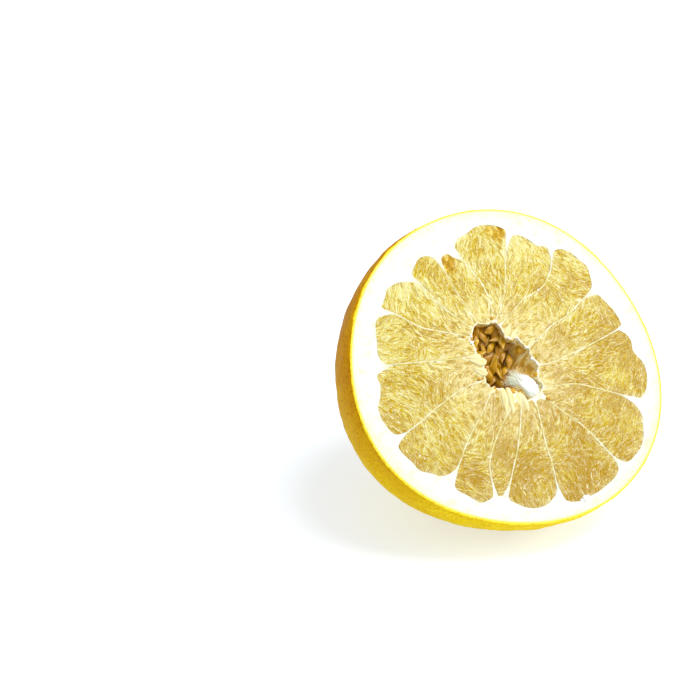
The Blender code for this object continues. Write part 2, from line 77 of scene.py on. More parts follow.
# an input given another node's output is linked to it, any other value is set
def setNode(tree, node, settings):
    for name, value in settings.items():
        if isinstance(name, str) and name not in node.inputs:
            setattr(node, name, value)
        elif isinstance(value, bpy.types.NodeSocket):
            tree.links.new(value, node.inputs[name])
        else:
            node.inputs[name].default_value = value


# adds a shader node with its settings and links, and gives one of its outputs
def addNode(tree, kind, settings, stops=(), out=0):
    node = tree.nodes.new("ShaderNode" + kind)
    setNode(tree, node, settings)
    for extra in stops[2:]:
        node.color_ramp.elements.new(0.5)
    for number, (position, colour) in enumerate(stops):
        node.color_ramp.elements[number].position = position
        node.color_ramp.elements[number].color = srgb(colour)
    return node.outputs[out]


# the product of some ranges, each a value, where it starts and is full, and the least and most it gives
def shareOf(tree, ranges):
    share = 1.0
    for value, start, full, least, most in ranges:
        part = addNode(tree, "MapRange", {"Value": value, "From Min": start, "From Max": full,
                                          "To Min": least, "To Max": most})
        share = addNode(tree, "Math", {"operation": "MULTIPLY", 0: share, 1: part})
    return share


# colours laid over a ground one after another, each by the product of its ranges
def painted(tree, ground, layers):
    for paint, *ranges in layers:
        colour = srgb(paint) if isinstance(paint, str) else paint
        share = shareOf(tree, ranges)
        ground = addNode(tree, "Mix", {"data_type": "RGBA", 0: share, 6: ground, 7: colour}, out=2)
    return ground


def newMaterial(name):
    material = bpy.data.materials.new(name)
    material.use_nodes = True
    return material, material.node_tree


# the shader's own settings, with a bump: its height, its strength and its depth in metres
def finishMaterial(material, bump, settings):
    tree = material.node_tree
    height, strength, depth = bump
    dent = addNode(tree, "Bump", {"Strength": strength, "Distance": depth, "Height": height})
    setNode(tree, tree.nodes["Principled BSDF"], {**settings, "Normal": dent})
    return material


def newObject(name, bm):
    mesh = bpy.data.meshes.new(name)
    bm.to_mesh(mesh)
    bm.free()
    thing = bpy.data.objects.new(name, mesh)
    bpy.context.scene.collection.objects.link(thing)
    return thing


def finishPiece(name, bm, materials, replaced=(), sharp=None):
    piece = newObject(name, bm)
    for material in materials:
        piece.data.materials.append(material)
    piece.data.shade_smooth()
    if sharp:
        piece.data.set_sharp_from_angle(angle=math.radians(sharp))
    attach(piece, "root")
    if replaced:
        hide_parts(*replaced)
    return piece


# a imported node's mesh, merged, in the cut face's own frame
def cadCopy(node):
    bm = bmesh.new()
    bm.from_mesh(nodes[node].data)
    bmesh.ops.remove_doubles(bm, verts=bm.verts[:], dist=1e-6)
    bmesh.ops.transform(bm, matrix=place.inverted(), verts=bm.verts[:])
    return bm


# a closed loop carried smoothly through its points
def smoothLoop(points, steps):
    count = len(points)
    curve = []
    for i in range(count):
        a, b, c, d = (points[(i + k) % count] for k in (-1, 0, 1, 2))
        for step in range(steps):
            t = step / steps
            curve.append(0.5 * (2 * b + (c - a) * t + (2 * a - 5 * b + 4 * c - d) * t ** 2
                                + (3 * b - a - 3 * c + d) * t ** 3))
    return np.array(curve)


# a loop moved outwards by a distance, or inwards where it is negative
def grown(loop, distance):
    along = np.roll(loop, -1, axis=0) - np.roll(loop, 1, axis=0)
    along /= np.linalg.norm(along, axis=1)[:, None]
    area = np.sum(loop[:, 0] * np.roll(loop[:, 1], -1) - loop[:, 1] * np.roll(loop[:, 0], -1))
    return loop + np.stack((along[:, 1], -along[:, 0]), axis=1) * distance * np.sign(area)


# a line cut into equal parts
def resampled(points, parts):
    lengths = np.concatenate(([0], np.cumsum(np.linalg.norm(np.diff(points, axis=0), axis=1))))
    wanted = np.linspace(0, lengths[-1], parts + 1)
    return np.stack([np.interp(wanted, lengths, points[:, k]) for k in (0, 1)], axis=1)


# the vertices of one closed run of edges, in order and turning left
def orderedLoop(edges):
    left = dict.fromkeys(sorted(edges, key=lambda e: e.index))
    edge = next(iter(left))
    del left[edge]
    loop = [edge.verts[0], edge.verts[1]]
    while True:
        following = next((e for e in loop[-1].link_edges if e in left), None)
        if not following:
            break
        del left[following]
        loop.append(following.other_vert(loop[-1]))
    if loop[0] == loop[-1]:
        loop.pop()
    turn = sum(a.co.x * b.co.y - a.co.y * b.co.x for a, b in zip(loop, loop[1:] + loop[:1]))
    return loop if turn > 0 else loop[::-1]


# a tube through rings of points: a grid wrapped round, still open along one seam
def wrappedTube(bm, rings):
    around, count = len(rings[0]), len(rings)
    grid = bmesh.ops.create_grid(bm, x_segments=around, y_segments=count - 1, size=1.0)
    for v in grid["verts"]:
        i = round((v.co.x + 1) / 2 * around) % around
        j = round((v.co.y + 1) / 2 * (count - 1))
        v.co = rings[j][i]
    return grid["verts"]


# outlines of the segments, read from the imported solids

pulp = {
    "growth": 0.30,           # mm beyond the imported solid, over its clearance to the pith
    "steps": 10,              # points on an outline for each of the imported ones
    "lip": -1.2,              # mm, down to where a segment's sides go straight
    "wall": 0.5,              # mm, the least thickness of a wall
    "gap": 0.03,              # mm between a pocket and its pulp
    "cell": 0.36,             # mm between points of the surface
    "sacWidth": 1.55,         # mm
    "sacLength": 7.5,         # mm
    "rows": (0.50, 0.36),     # least distance between sacs, as a share of length and of width
    "depths": (-1.05, -0.15),                            # mm, how deep the middles of the sacs lie
    "sizes": (0.7, 1.2),      # share of the usual length and spacing
    "tries": 1.6,             # places tried for a sac, for each square millimetre
    "wander": 13,             # degrees that a sac strays from its neighbours
    "soften": 0.10,           # mm, how sharply the knife has levelled the sacs
    "deepest": 0.32,          # mm, how deep the gaps between the sacs go
    "coreReach": 4.2,         # mm from the hollow within which a segment's end is drawn towards it
    "coreRim": 0.55,          # mm of skin that stays between the pulp and the hollow
    "edgeDrop": 0.05,         # mm that the pulp sinks beside a wall
    # where on the face the flesh has dried, and how far round, in mm
    "driedPatches": ((17.0, 64.0, 4.0), (19.5, 66.0, 3.4), (13.4, 66.2, 2.4), (-12.5, 54.5, 4.6)),
}


# where the seeds lie, with their half widths
def seedPlaces():
    back = place.inverted()
    boxes = [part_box(name) for name in ("seed_1", "seed_2", "seed_3")]
    return [(back @ ((low + high) / 2), (high.x - low.x) / 2 / mm) for low, high in boxes]


# a packed segment's outline on the cut, its corners, and the box it fills at each level below
def segmentOutline(node):
    bm = cadCopy(node)
    faces = {f for f in bm.faces if all(v.co.z > -0.01 for v in f.verts)}
    edges = [e for e in bm.edges if sum(f in faces for f in e.link_faces) == 1]
    loop = orderedLoop(edges)
    kept = [v for v in loop if all((v.co.xy - m.xy).length > half + 0.5 for m, half in seedPlaces())]
    corners = [i for i, v in enumerate(kept) if sum(f in faces for f in v.link_faces) == 2]
    points = np.array([v.co.xy for v in kept])
    levels = sorted({round(v.co.z) for v in bm.verts if v.co.z < -10}, reverse=True)
    boxes = [(points.min(axis=0), points.max(axis=0))]
    for level in levels:
        ring = np.array([v.co.xy for v in bm.verts if abs(v.co.z - level) < 0.5])
        middle = (ring.min(axis=0) + ring.max(axis=0)) / 2
        half = (ring.max(axis=0) - ring.min(axis=0)) / 2 * 0.9
        boxes.append((middle - half, middle + half))
    bm.free()
    return points, corners, levels, boxes


def roundCoreEnd(points, corners):
    for i in corners:
        if np.linalg.norm(points[i]) < 32:
            points[i] = points[i] * 0.5 + (points[i - 1] + points[(i + 1) % len(points)]) * 0.25


# the end of a segment beside the hollow, drawn up to the hollow's torn edge
def drawnToHollow(curve):
    drawn = curve.copy()
    for i, point in enumerate(curve):
        gaps = mouth - point
        lengths = np.linalg.norm(gaps, axis=1)
        nearest = lengths.argmin()
        reach = lengths[nearest]
        share = min(max((pulp["coreReach"] - reach) / 1.5, 0), 1)
        if reach > pulp["coreRim"]:
            drawn[i] += gaps[nearest] / reach * (reach - pulp["coreRim"]) * share
    return drawn


# the walls between neighbours stay thick enough
def keepWalls(curves):
    for number in range(16):
        curve = curves[number]
        others = np.concatenate((curves[number - 1], curves[(number + 1) % 16]))
        gaps = curve[:, None] - others[None]
        lengths = np.linalg.norm(gaps, axis=2)
        nearest = lengths.argmin(axis=1)
        reach = lengths[np.arange(len(curve)), nearest]
        away = gaps[np.arange(len(curve)), nearest] / reach[:, None]
        curve += away * (np.maximum(pulp["wall"] - reach, 0) / 2)[:, None]


# the four sides of a segment's outline, from the one at the core round
def sideArcs(curve, corners):
    cuts = [c * pulp["steps"] for c in corners]
    arcs = []
    for start, end in zip(cuts, cuts[1:] + [cuts[0] + len(curve)]):
        arcs.append(np.array([curve[i % len(curve)] for i in range(start, end + 1)]))
    core = min(range(4), key=lambda k: np.linalg.norm(arcs[k][len(arcs[k]) // 2]))
    return [arcs[(core + k) % 4] for k in range(4)]


outlines = {}
for number in range(1, 17):
    name = f"segment_{number:02d}"
    outlines[name] = segmentOutline(name)
print("outlines read:", len(outlines))


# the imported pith's loops on the cut face, and a tree of its surface to cast rays on
def topLoops():
    bm = cadCopy("pith")
    flat = {f for f in bm.faces if f.normal.z > 0.9 and all(abs(v.co.z) < 0.02 for v in f.verts)}
    left = {e for e in bm.edges if sum(f in flat for f in e.link_faces) == 1}
    loops = []
    while left:
        loop = orderedLoop(left)
        used = set(loop)
        left = {e for e in left if not (e.verts[0] in used and e.verts[1] in used)}
        loops.append(np.array([v.co.xy for v in loop]))
    tree = BVHTree.FromBMesh(bm)
    bm.free()
    return loops, tree


# the part of the hollow's edge that is clear of segments and seeds, closed into a loop
def coreMouth(loops):
    loop = max((l for l in loops if np.linalg.norm(l, axis=1).max() < 70), key=len)
    closed = [np.vstack((points, points[:1])) for points, *deeper in outlines.values()]
    edges = np.concatenate([resampled(points, 300) for points in closed])
    seeds = [(np.array(m.xy), half + 0.9) for m, half in seedPlaces()]
    clear = [np.linalg.norm(edges - p, axis=1).min() > 0.6
             and all(np.linalg.norm(p - spot) > reach for spot, reach in seeds) for p in loop]
    first = next(i for i in range(len(loop)) if clear[i] and not clear[i - 1])
    order = [(first + i) % len(loop) for i in range(len(loop))]
    return np.array([loop[i] for i in order if clear[i]])


faceLoops, pithTree = topLoops()
mouth = resampled(smoothLoop(coreMouth(faceLoops), 4), 400)


def fineCurves():
    curves = []
    for points, corners, *deeper in outlines.values():
        roundCoreEnd(points, corners)
        curves.append(drawnToHollow(grown(smoothLoop(points, pulp["steps"]), pulp["growth"])))
    for again in range(4):
        keepWalls(curves)
    return dict(zip(outlines, curves))


pockets = fineCurves()


# pulp: the cut juice sacs of each segment

# how the sacs lie: places on the cut face and the way the grain runs there, in degrees
grain = {
    1: ((3, 62, 60), (12, 62, 110), (8, 50, 75), (2, 42, 115), (9, 35, 70), (16, 50, 85), (3, 30, 95)),
    2: ((27, 58, 120), (24, 48, 60), (33, 48, 95), (38, 48, 110), (30, 40, 70), (18, 33, 30), (10, 28, 45),
        (14, 40, 75)),
    3: ((50, 46, 128), (46, 40, 140), (50, 34, 150), (45, 30, 175), (38, 27, 115), (30, 24, 100),
        (24, 26, 35), (12, 22, 45), (18, 16, 170), (17, 11, 20), (36, 20, 50)),
    4: ((60, 16, 110), (53, 20, 50), (48, 13, 35), (40, 8, 10), (33, 12, 85), (26, 9, 45), (18, 5, 55),
        (24, 0, 10), (50, 6, 15)),
    5: ((22, -8, 0), (32, -3, 15), (34, -10, 155), (45, -6, 20), (52, -14, 45), (57, -20, 60), (65, -16, 75),
        (60, 2, 10), (42, -18, 150)),
    6: ((20, -17, 5), (30, -22, 20), (24, -27, 140), (40, -28, 45), (52, -34, 40), (44, -42, 28),
        (50, -49, 30), (40, -52, 18), (30, -33, 35)),
    7: ((12, -24, 93), (17, -30, 65), (11, -41, 20), (13, -48, 3), (22, -40, 45), (28, -46, 130),
        (18, -54, 110), (11, -60, 110), (25, -61, 65), (34, -58, 40), (34, -50, 20)),
    8: ((4, -24, 95), (1, -30, 75), (0, -42, 15), (-8, -47, 12), (-13, -52, 35), (-8, -60, 95),
        (-15, -60, 120), (1, -60, 85), (-3, -53, 5)),
    9: ((-3, -22, 70), (-10, -35, 60), (-16, -45, 35), (-21, -54, 10)),
    10: ((-7, -16, 80), (-15, -22, 60), (-24, -28, 40), (-18, -34, 60), (-27, -38, 165), (-35, -44, 150),
         (-36, -51, 140), (-28, -53, 130)),
    11: ((-18, -9, 30), (-25, -18, 130), (-33, -18, 118), (-42, -24, 108), (-52, -26, 98), (-60, -28, 105),
         (-50, -36, 100), (-40, -36, 112), (-30, -25, 120)),
    12: ((-62, -10, 122), (-57, -3, 135), (-50, -9, 118), (-60, 4, 170), (-48, 3, 145), (-40, 6, 130),
         (-39, -4, 75), (-29, -1, 60), (-27, 7, 160), (-19, 1, 25)),
    13: ((-56, 28, 10), (-50, 33, 20), (-55, 20, 160), (-48, 24, 165), (-40, 27, 115), (-34, 22, 125),
         (-27, 19, 155), (-20, 16, 170), (-25, 12, 15), (-40, 15, 60), (-53, 15, 170)),
    14: ((-45, 45, 60), (-40, 44, 85), (-34, 42, 100), (-31, 34, 120), (-25, 28, 112), (-18, 22, 120)),
    15: ((-27, 55, 45), (-20, 54, 60), (-23, 46, 115), (-19, 38, 112), (-13, 30, 100)),
    16: ((-12, 56, 60), (-9, 47, 95), (-3, 44, 108), (-6, 34, 95)),
}


# the way the grain runs at some spots, from the guides near them
def grainHeadings(guides, spots):
    turns = np.zeros((len(spots), 2))
    for s, t, degrees in guides:
        weight = ((spots[:, 0] - s) ** 2 + (spots[:, 1] - t) ** 2 + 6) ** -1.5
        doubled = math.radians(2 * degrees)
        turns += weight[:, None] * np.array((math.cos(doubled), math.sin(doubled)))
    return np.arctan2(turns[:, 1], turns[:, 0]) / 2


def layOutSacs(number, low, high, rng):
    tries = int((high[0] - low[0]) * (high[1] - low[1]) * pulp["tries"])
    spots = np.array([(rng.uniform(low[0], high[0]), rng.uniform(low[1], high[1])) for k in range(tries)])
    headings = grainHeadings(grain[number], spots)
    length, width = pulp["sacLength"], pulp["sacWidth"]
    placed = np.zeros((0, 2))
    sacs = []
    for spot, heading in zip(spots, headings):
        heading += math.radians(rng.gauss(0, pulp["wander"]))
        along = np.array((math.cos(heading), math.sin(heading)))
        across = np.array((-along[1], along[0]))
        size = rng.uniform(*pulp["sizes"])
        if len(placed):
            gap = placed - spot
            u = gap @ along / (length * size * pulp["rows"][0])
            v = gap @ across / (width * size * pulp["rows"][1])
            if (u * u + v * v).min() < 1:
                continue
        placed = np.vstack((placed, spot))
        if rng.random() < 0.5:
            along, across = -along, -across
        sacs.append({"spot": spot, "along": along, "across": across, "half": length * size / 2,
                     "radius": width * rng.uniform(0.8, 1.25) / 2, "bend": rng.uniform(-1.0, 1.0),
                     "depth": rng.uniform(*pulp["depths"]), "pitch": rng.uniform(-0.10, 0.10),
                     "tone": rng.random()})
    return sacs


# the highest and second highest sac over each point, with the highest one's tone and grain
def sacSurface(points, sacs):
    count = len(points)
    best = np.full(count, -1.6)
    second = np.full(count, -1.6)
    tone = np.full(count, 0.5)
    grainUv = np.zeros((count, 2))
    for index, sac in enumerate(sacs):
        offset = points - sac["spot"]
        u = offset @ sac["along"]
        near = np.nonzero(np.abs(u) < sac["half"] + sac["radius"])[0]
        u = u[near]
        v = offset[near] @ sac["across"]
        share = np.clip((u / sac["half"] + 1) / 2, 0, 1)
        v = v - sac["bend"] * 4 * share * (1 - share)
        beyond = np.maximum(np.abs(u) - sac["half"], 0)
        swell = np.clip(share * 1.6, 0, 1)
        radius = sac["radius"] * (0.35 + 0.65 * swell * swell * (3 - 2 * swell))
        ratio = (v * v + beyond * beyond) / (radius * radius)
        inside = ratio < 1
        near, u, v = near[inside], u[inside], v[inside]
        height = sac["depth"] + sac["pitch"] * u + radius[inside] * np.sqrt(1 - ratio[inside])
        wins = height > best[near]
        second[near] = np.where(wins, best[near], np.maximum(second[near], height))
        won = near[wins]
        best[won] = height[wins]
        tone[won] = sac["tone"]
        grainUv[won, 0] = u[wins] + 37.0 * (index % 29)
        grainUv[won, 1] = v[wins] + 11.0 * (index % 31)
    return best, second, tone, grainUv


# a grid of points stretched between the four sides of an outline
def stretchedPatch(core, left, outer, right, along, across):
    u = np.linspace(0, 1, along + 1)[:, None, None]
    v = np.linspace(0, 1, across + 1)[None, :, None]
    ends = (left[0] * (1 - u) * (1 - v) + left[-1] * u * (1 - v)
            + right[-1] * u * v + right[0] * (1 - u) * v)
    return (left[:, None] * (1 - v) + right[:, None] * v
            + core[None] * (1 - u) + outer[None] * u - ends)


# a segment's block: the patch on top, and its sides drawn down through the levels
def pulpBlock(patch, levels, boxes):
    along, across = patch.shape[0] - 1, patch.shape[1] - 1
    bm = bmesh.new()
    grid = bmesh.ops.create_grid(bm, x_segments=across, y_segments=along, size=1.0)
    for v in grid["verts"]:
        i = round((v.co.y + 1) / 2 * along)
        j = round((v.co.x + 1) / 2 * across)
        v.co = (*patch[i, j], 0.0)
    edges = [e for e in bm.edges if e.is_boundary]
    low, high = boxes[0]
    for level, (lowThere, highThere) in zip((pulp["lip"], *levels), boxes):
        fresh = bmesh.ops.extrude_edge_only(bm, edges=edges)["geom"]
        verts = [item for item in fresh if isinstance(item, bmesh.types.BMVert)]
        edges = [item for item in fresh if isinstance(item, bmesh.types.BMEdge)]
        scale = (highThere - lowThere) / (high - low)
        middle, middleThere = (low + high) / 2, (lowThere + highThere) / 2
        for v in verts:
            v.co = (*((np.array(v.co.xy) - middle) * scale + middleThere), level)
        edges = [e for e in edges if e.is_boundary]
        low, high = lowThere, highThere
    bmesh.ops.contextual_create(bm, geom=edges)
    bmesh.ops.recalc_face_normals(bm, faces=bm.faces[:])
    return bm


def makePulp(number, material):
    name = f"segment_{number:02d}"
    corners, levels, boxes = outlines[name][1:]
    arcs = sideArcs(grown(pockets[name], -pulp["gap"]), corners)
    size = [np.linalg.norm(np.diff(a, axis=0), axis=1).sum() for a in arcs]
    along = round(max(size[1], size[3]) / pulp["cell"])
    across = round(max(size[0], size[2]) / pulp["cell"])
    # the arcs run round the rim, so two of them are turned to run the same way as the others
    core = resampled(arcs[0], across)
    right = resampled(arcs[1], along)
    outer = resampled(arcs[2], across)[::-1]
    left = resampled(arcs[3], along)[::-1]
    patch = stretchedPatch(core, left, outer, right, along, across)
    count = patch.shape[0] * patch.shape[1]
    bm = pulpBlock(patch, levels, boxes)
    piece = finishPiece(f"pulp{number:02d}", bm, [material], [name], sharp=60)

    mesh = piece.data
    co = np.empty(len(mesh.vertices) * 3)
    mesh.vertices.foreach_get("co", co)
    co = co.reshape(-1, 3)
    top = co[:count, :2]
    rng = random.Random(100 + number)
    sacs = layOutSacs(number, top.min(axis=0) - 1, top.max(axis=0) + 1, rng)
    best, second, tone, grainUv = sacSurface(top, sacs)
    rim = np.concatenate((core, left, outer, right))
    toRim = np.full(count, 99.0)
    for part in np.array_split(rim, 12):
        toRim = np.minimum(toRim, np.linalg.norm(top[:, None] - part[None], axis=2).min(axis=1))
    soften = pulp["soften"]
    height = -soften * np.log1p(np.exp(-np.clip(best / soften, -60, 60)))
    height = pulp["deepest"] * (np.exp(height / pulp["deepest"]) - 1)
    height -= pulp["edgeDrop"] * np.exp(-(toRim / 0.45) ** 2)
    co[:count, 2] = height
    mesh.vertices.foreach_set("co", toWorld(co).ravel())
    dried = np.zeros(count)
    for s, t, radius in pulp["driedPatches"]:
        away = np.linalg.norm(top - np.array((s, t)), axis=1)
        dried = np.maximum(dried, np.clip(2.6 - 2.2 * away / radius + 0.9 * (tone - 0.5), 0, 1))
    for label, values in (("tone", tone), ("border", np.clip((best - second) / 0.4, 0, 1)),
                          ("cutOpen", np.clip(best / 0.2, -1, 1) / 2 + 0.5),
                          ("toRim", np.clip(toRim / 3, 0, 1)), ("dried", dried)):
        full = np.zeros(len(co))
        full[:count] = values
        mesh.attributes.new(label, "FLOAT", "POINT").data.foreach_set("value", full)
    uv = np.zeros((len(co), 2))
    uv[:count] = grainUv * 0.01                          # 0.01 on the grain map is 1 mm
    corner = np.empty(len(mesh.loops), dtype=int)
    mesh.loops.foreach_get("vertex_index", corner)
    mesh.uv_layers.new(name="grain").data.foreach_set("uv", uv[corner].ravel())
    mesh.update()
    return len(sacs)


# rind: the waxy yellow skin with its oil glands

rind = {
    "radius": 77.0, "depth": 82.0, "power": 1.8,          # of the bowl, as packed
    # waves of its rim: how many, how high in mm, and where in degrees
    "lobes": ((3, 1.5, -128), (4, 0.4, 150), (5, 0.3, -63), (0, 0.4, 0), (1, 0.45, 45)),
    # swellings below the rim: how high in mm, where in degrees, and how narrow
    "bellies": ((7.0, 152, 3), (1.5, 272, 2)), "bellyRise": 0.8,
    "skin": 1.3,              # mm thick
    "inward": 0.35,           # mm more, over the clearance to the pith
    "scarDepth": 2.2, "scarRadius": 9.0,
    "waves": 0.5,             # mm that the outside strays
    "bevel": 0.45,            # mm that its first ring lies under the cut
    "cutReach": 79.0,         # mm from the middle, as far as the cut's own finish goes
    "around": 460, "rings": 120, "innerRings": 22,
    "lastDip": 89.98,         # degrees down to the last ring, which is drawn together
}


# a point of the bowl, by its angle round it and its dip under the cut
def bowlPoint(angle, dip, inset):
    flat = max(math.cos(dip), 0.0)
    lobes = sum(h * math.cos(n * angle - math.radians(a)) for n, h, a in rind["lobes"])
    belly = sum(h * ((1 + math.cos(angle - math.radians(a))) / 2) ** n for h, a, n in rind["bellies"])
    belly *= max(math.sin(2 * dip), 0.0) ** rind["bellyRise"]
    radius = (rind["radius"] - inset + lobes * flat + belly) * flat ** (2 / rind["power"])
    dimple = rind["scarDepth"] * math.exp(-(radius / rind["scarRadius"]) ** 2)
    height = dimple - (rind["depth"] - inset) * math.sin(dip) ** (2 / rind["power"])
    return Vector((radius * math.cos(angle), radius * math.sin(angle), height))


# a ring of the bowl, pressed flat where it would go below the table
def bowlRing(around, dip, inset, waves=0.0):
    ring = []
    for step in range(around):
        angle = math.tau * step / around
        point = bowlPoint(angle, dip, inset)
        if waves:
            outward = point.normalized()
            point += outward * waves * (noise.fractal(point * 0.09, 1.0, 2.0, 4) - 0.15)
        spot = place @ point
        if spot.z < inset * mm:
            spot.z = inset * mm
        ring.append(place.inverted() @ spot)
    return ring


def skinMaterial():
    # citrus flavedo: waxy and translucent, full of oil glands about 1.8 mm apart, which
    # give the eye small darker orange pits on lemon yellow, with a soft broken shine
    material, tree = newMaterial("waxyCitrusPeel")
    place3d = addNode(tree, "TexCoord", {}, out="Object")
    pits = []
    for spacing, shift in ((0.0021, 0.0), (0.0024, 0.0137)):                     # metres
        moved = addNode(tree, "Mapping", {"Vector": place3d, "Location": (shift, shift, shift)})
        glands = addNode(tree, "TexVoronoi", {"Vector": moved, "Scale": 1 / spacing, "Randomness": 0.9})
        pits.append(shareOf(tree, [(glands, 0.06, 0.38, 0, 1)]))
    pitless = addNode(tree, "Math", {"operation": "MINIMUM", 0: pits[0], 1: pits[1]})
    patches = addNode(tree, "TexNoise", {"Vector": place3d, "Scale": 45.0, "Detail": 4.0})
    fine = addNode(tree, "TexNoise", {"Vector": place3d, "Scale": 1100.0, "Detail": 3.0})
    height = addNode(tree, "SeparateXYZ", {"Vector": place3d}, out="Z")
    # painted light: the yellow and its pits turn brighter low down, as light thrown up from the floor, and
    # stay darker higher up, as painted shade
    floorLitShare = (height, 0.075, 0.014, 0, 1)
    upper = addNode(tree, "ValToRGB", {"Fac": patches},
                    ((0.30, "#c28400"), (0.52, "#ce9200"), (0.72, "#d6a000")))
    floorLitYellow = addNode(tree, "ValToRGB", {"Fac": patches},
                    ((0.30, "#dcb800"), (0.52, "#e6cc00"), (0.72, "#ecd810")))
    ground = painted(tree, upper, [(floorLitYellow, floorLitShare)])
    pitColour = painted(tree, srgb("#b27200"), [("#caa600", floorLitShare)])
    scarSpot = place @ Vector((0, 0, rind["scarDepth"] - rind["depth"]))
    toScar = addNode(tree, "VectorMath", {"operation": "DISTANCE", 0: place3d, 1: scarSpot}, out="Value")
    cork = addNode(tree, "ValToRGB", {"Fac": patches}, ((0.35, "#5c4426"), (0.65, "#8c7048")))
    colour = painted(tree, pitColour, [
        (ground, (pitless, 0, 1, 0, 1)),
        (pitColour, (fine, 0.60, 0.40, 0, 0.4)),
        ("#a88a1c", (toScar, 0.012, 0.003, 0, 0.6)),
        (cork, (toScar, 0.0038, 0.0026, 0, 1)),                                # the scar at the far end
    ])
    relief = addNode(tree, "Math", {"operation": "MULTIPLY_ADD", 0: fine, 1: 0.25, 2: pitless})
    return finishMaterial(material, (relief, 0.6, 0.0003), {
        "Base Color": colour, "Roughness": 0.6, "IOR": 1.40, "Specular IOR Level": 0.05})


def cutSkinMaterial():
    # the same skin where the knife went through: wet, with the glands as brighter beads
    # and a paler spongy edge towards the pith
    material, tree = newMaterial("cutCitrusPeel")
    place3d = addNode(tree, "TexCoord", {}, out="Object")
    glands = addNode(tree, "TexVoronoi", {"Vector": place3d, "Scale": 1 / 0.0019, "Randomness": 0.8})
    yellow = addNode(tree, "ValToRGB", {"Fac": glands},
                     ((0.15, "#dcb800"), (0.42, "#e8ca00"), (0.62, "#ecd81c")))
    across = addNode(tree, "Attribute", {"attribute_name": "across"}, out="Fac")
    return finishMaterial(material, (glands, 0.3, 0.0002), {
        "Base Color": painted(tree, yellow, [("#dcdb9c", (across, 0.55, 0.15, 0, 1))]),
        "Roughness": 0.4, "IOR": 1.45, "Subsurface Weight": 0.15, "Subsurface Scale": 0.002})


def makeRind(materials):
    around, last = rind["around"], rind["lastDip"]
    thick = rind["skin"] + rind["inward"]
    rings = []
    for k in range(rind["innerRings"] + 1):
        rings.append(bowlRing(around, math.radians(last * (1 - k / rind["innerRings"])), thick))
    inner = rings[-1]
    outer = bowlRing(around, 0.0, 0.0)
    for share, drop in ((0.12, -0.02), (0.4, 0.0), (0.75, -0.04), (0.93, -0.16)):
        ring = []
        for a, b in zip(inner, outer):
            point = a.lerp(b, share)
            point.z = drop - 0.12 * (noise.noise(point * 0.5) + 0.3)
            ring.append(point)
        rings.append(ring)
    for k in range(rind["rings"] + 1):
        ring = bowlRing(around, math.radians(last) * (k / rind["rings"]) ** 0.96, 0.0, rind["waves"])
        if k == 0:
            ring = [p - Vector((0, 0, rind["bevel"])) for p in ring]
        rings.append(ring)
    bm = bmesh.new()
    wrappedTube(bm, rings)
    bmesh.ops.remove_doubles(bm, verts=bm.verts[:], dist=0.002)
    bmesh.ops.holes_fill(bm, edges=[e for e in bm.edges if e.is_boundary], sides=around)
    skinShare = bm.verts.layers.float.new("across")
    rim = np.array([p.xy for p in outer])
    for v in bm.verts:
        if v.co.z > -0.7:
            v[skinShare] = 1 - np.linalg.norm(rim - np.array(v.co.xy), axis=1).min() / thick
    for face in bm.faces:
        middle = face.calc_center_median()
        if middle.z > -0.6 and middle.xy.length < rind["cutReach"]:
            face.material_index = 1
    bmesh.ops.transform(bm, matrix=place, verts=bm.verts[:])
    bmesh.ops.recalc_face_normals(bm, faces=bm.faces[:])
    return finishPiece("peel", bm, materials, ["rind"], sharp=50)


# pith: white layer, the walls between the segments and the wall of the core

pith = {
    "around": 300,
    "wallRings": 52,          # down the wall of the core
    "raggedness": 0.42,       # mm that the core's torn edge strays
    "hollowMiddle": (0.5, 3.0), "hollowReach": 27, "hollowDepth": 24,          # mm
    "strings": (0.66, 0.75),  # the way across the torn strings on the hollow's wall
}


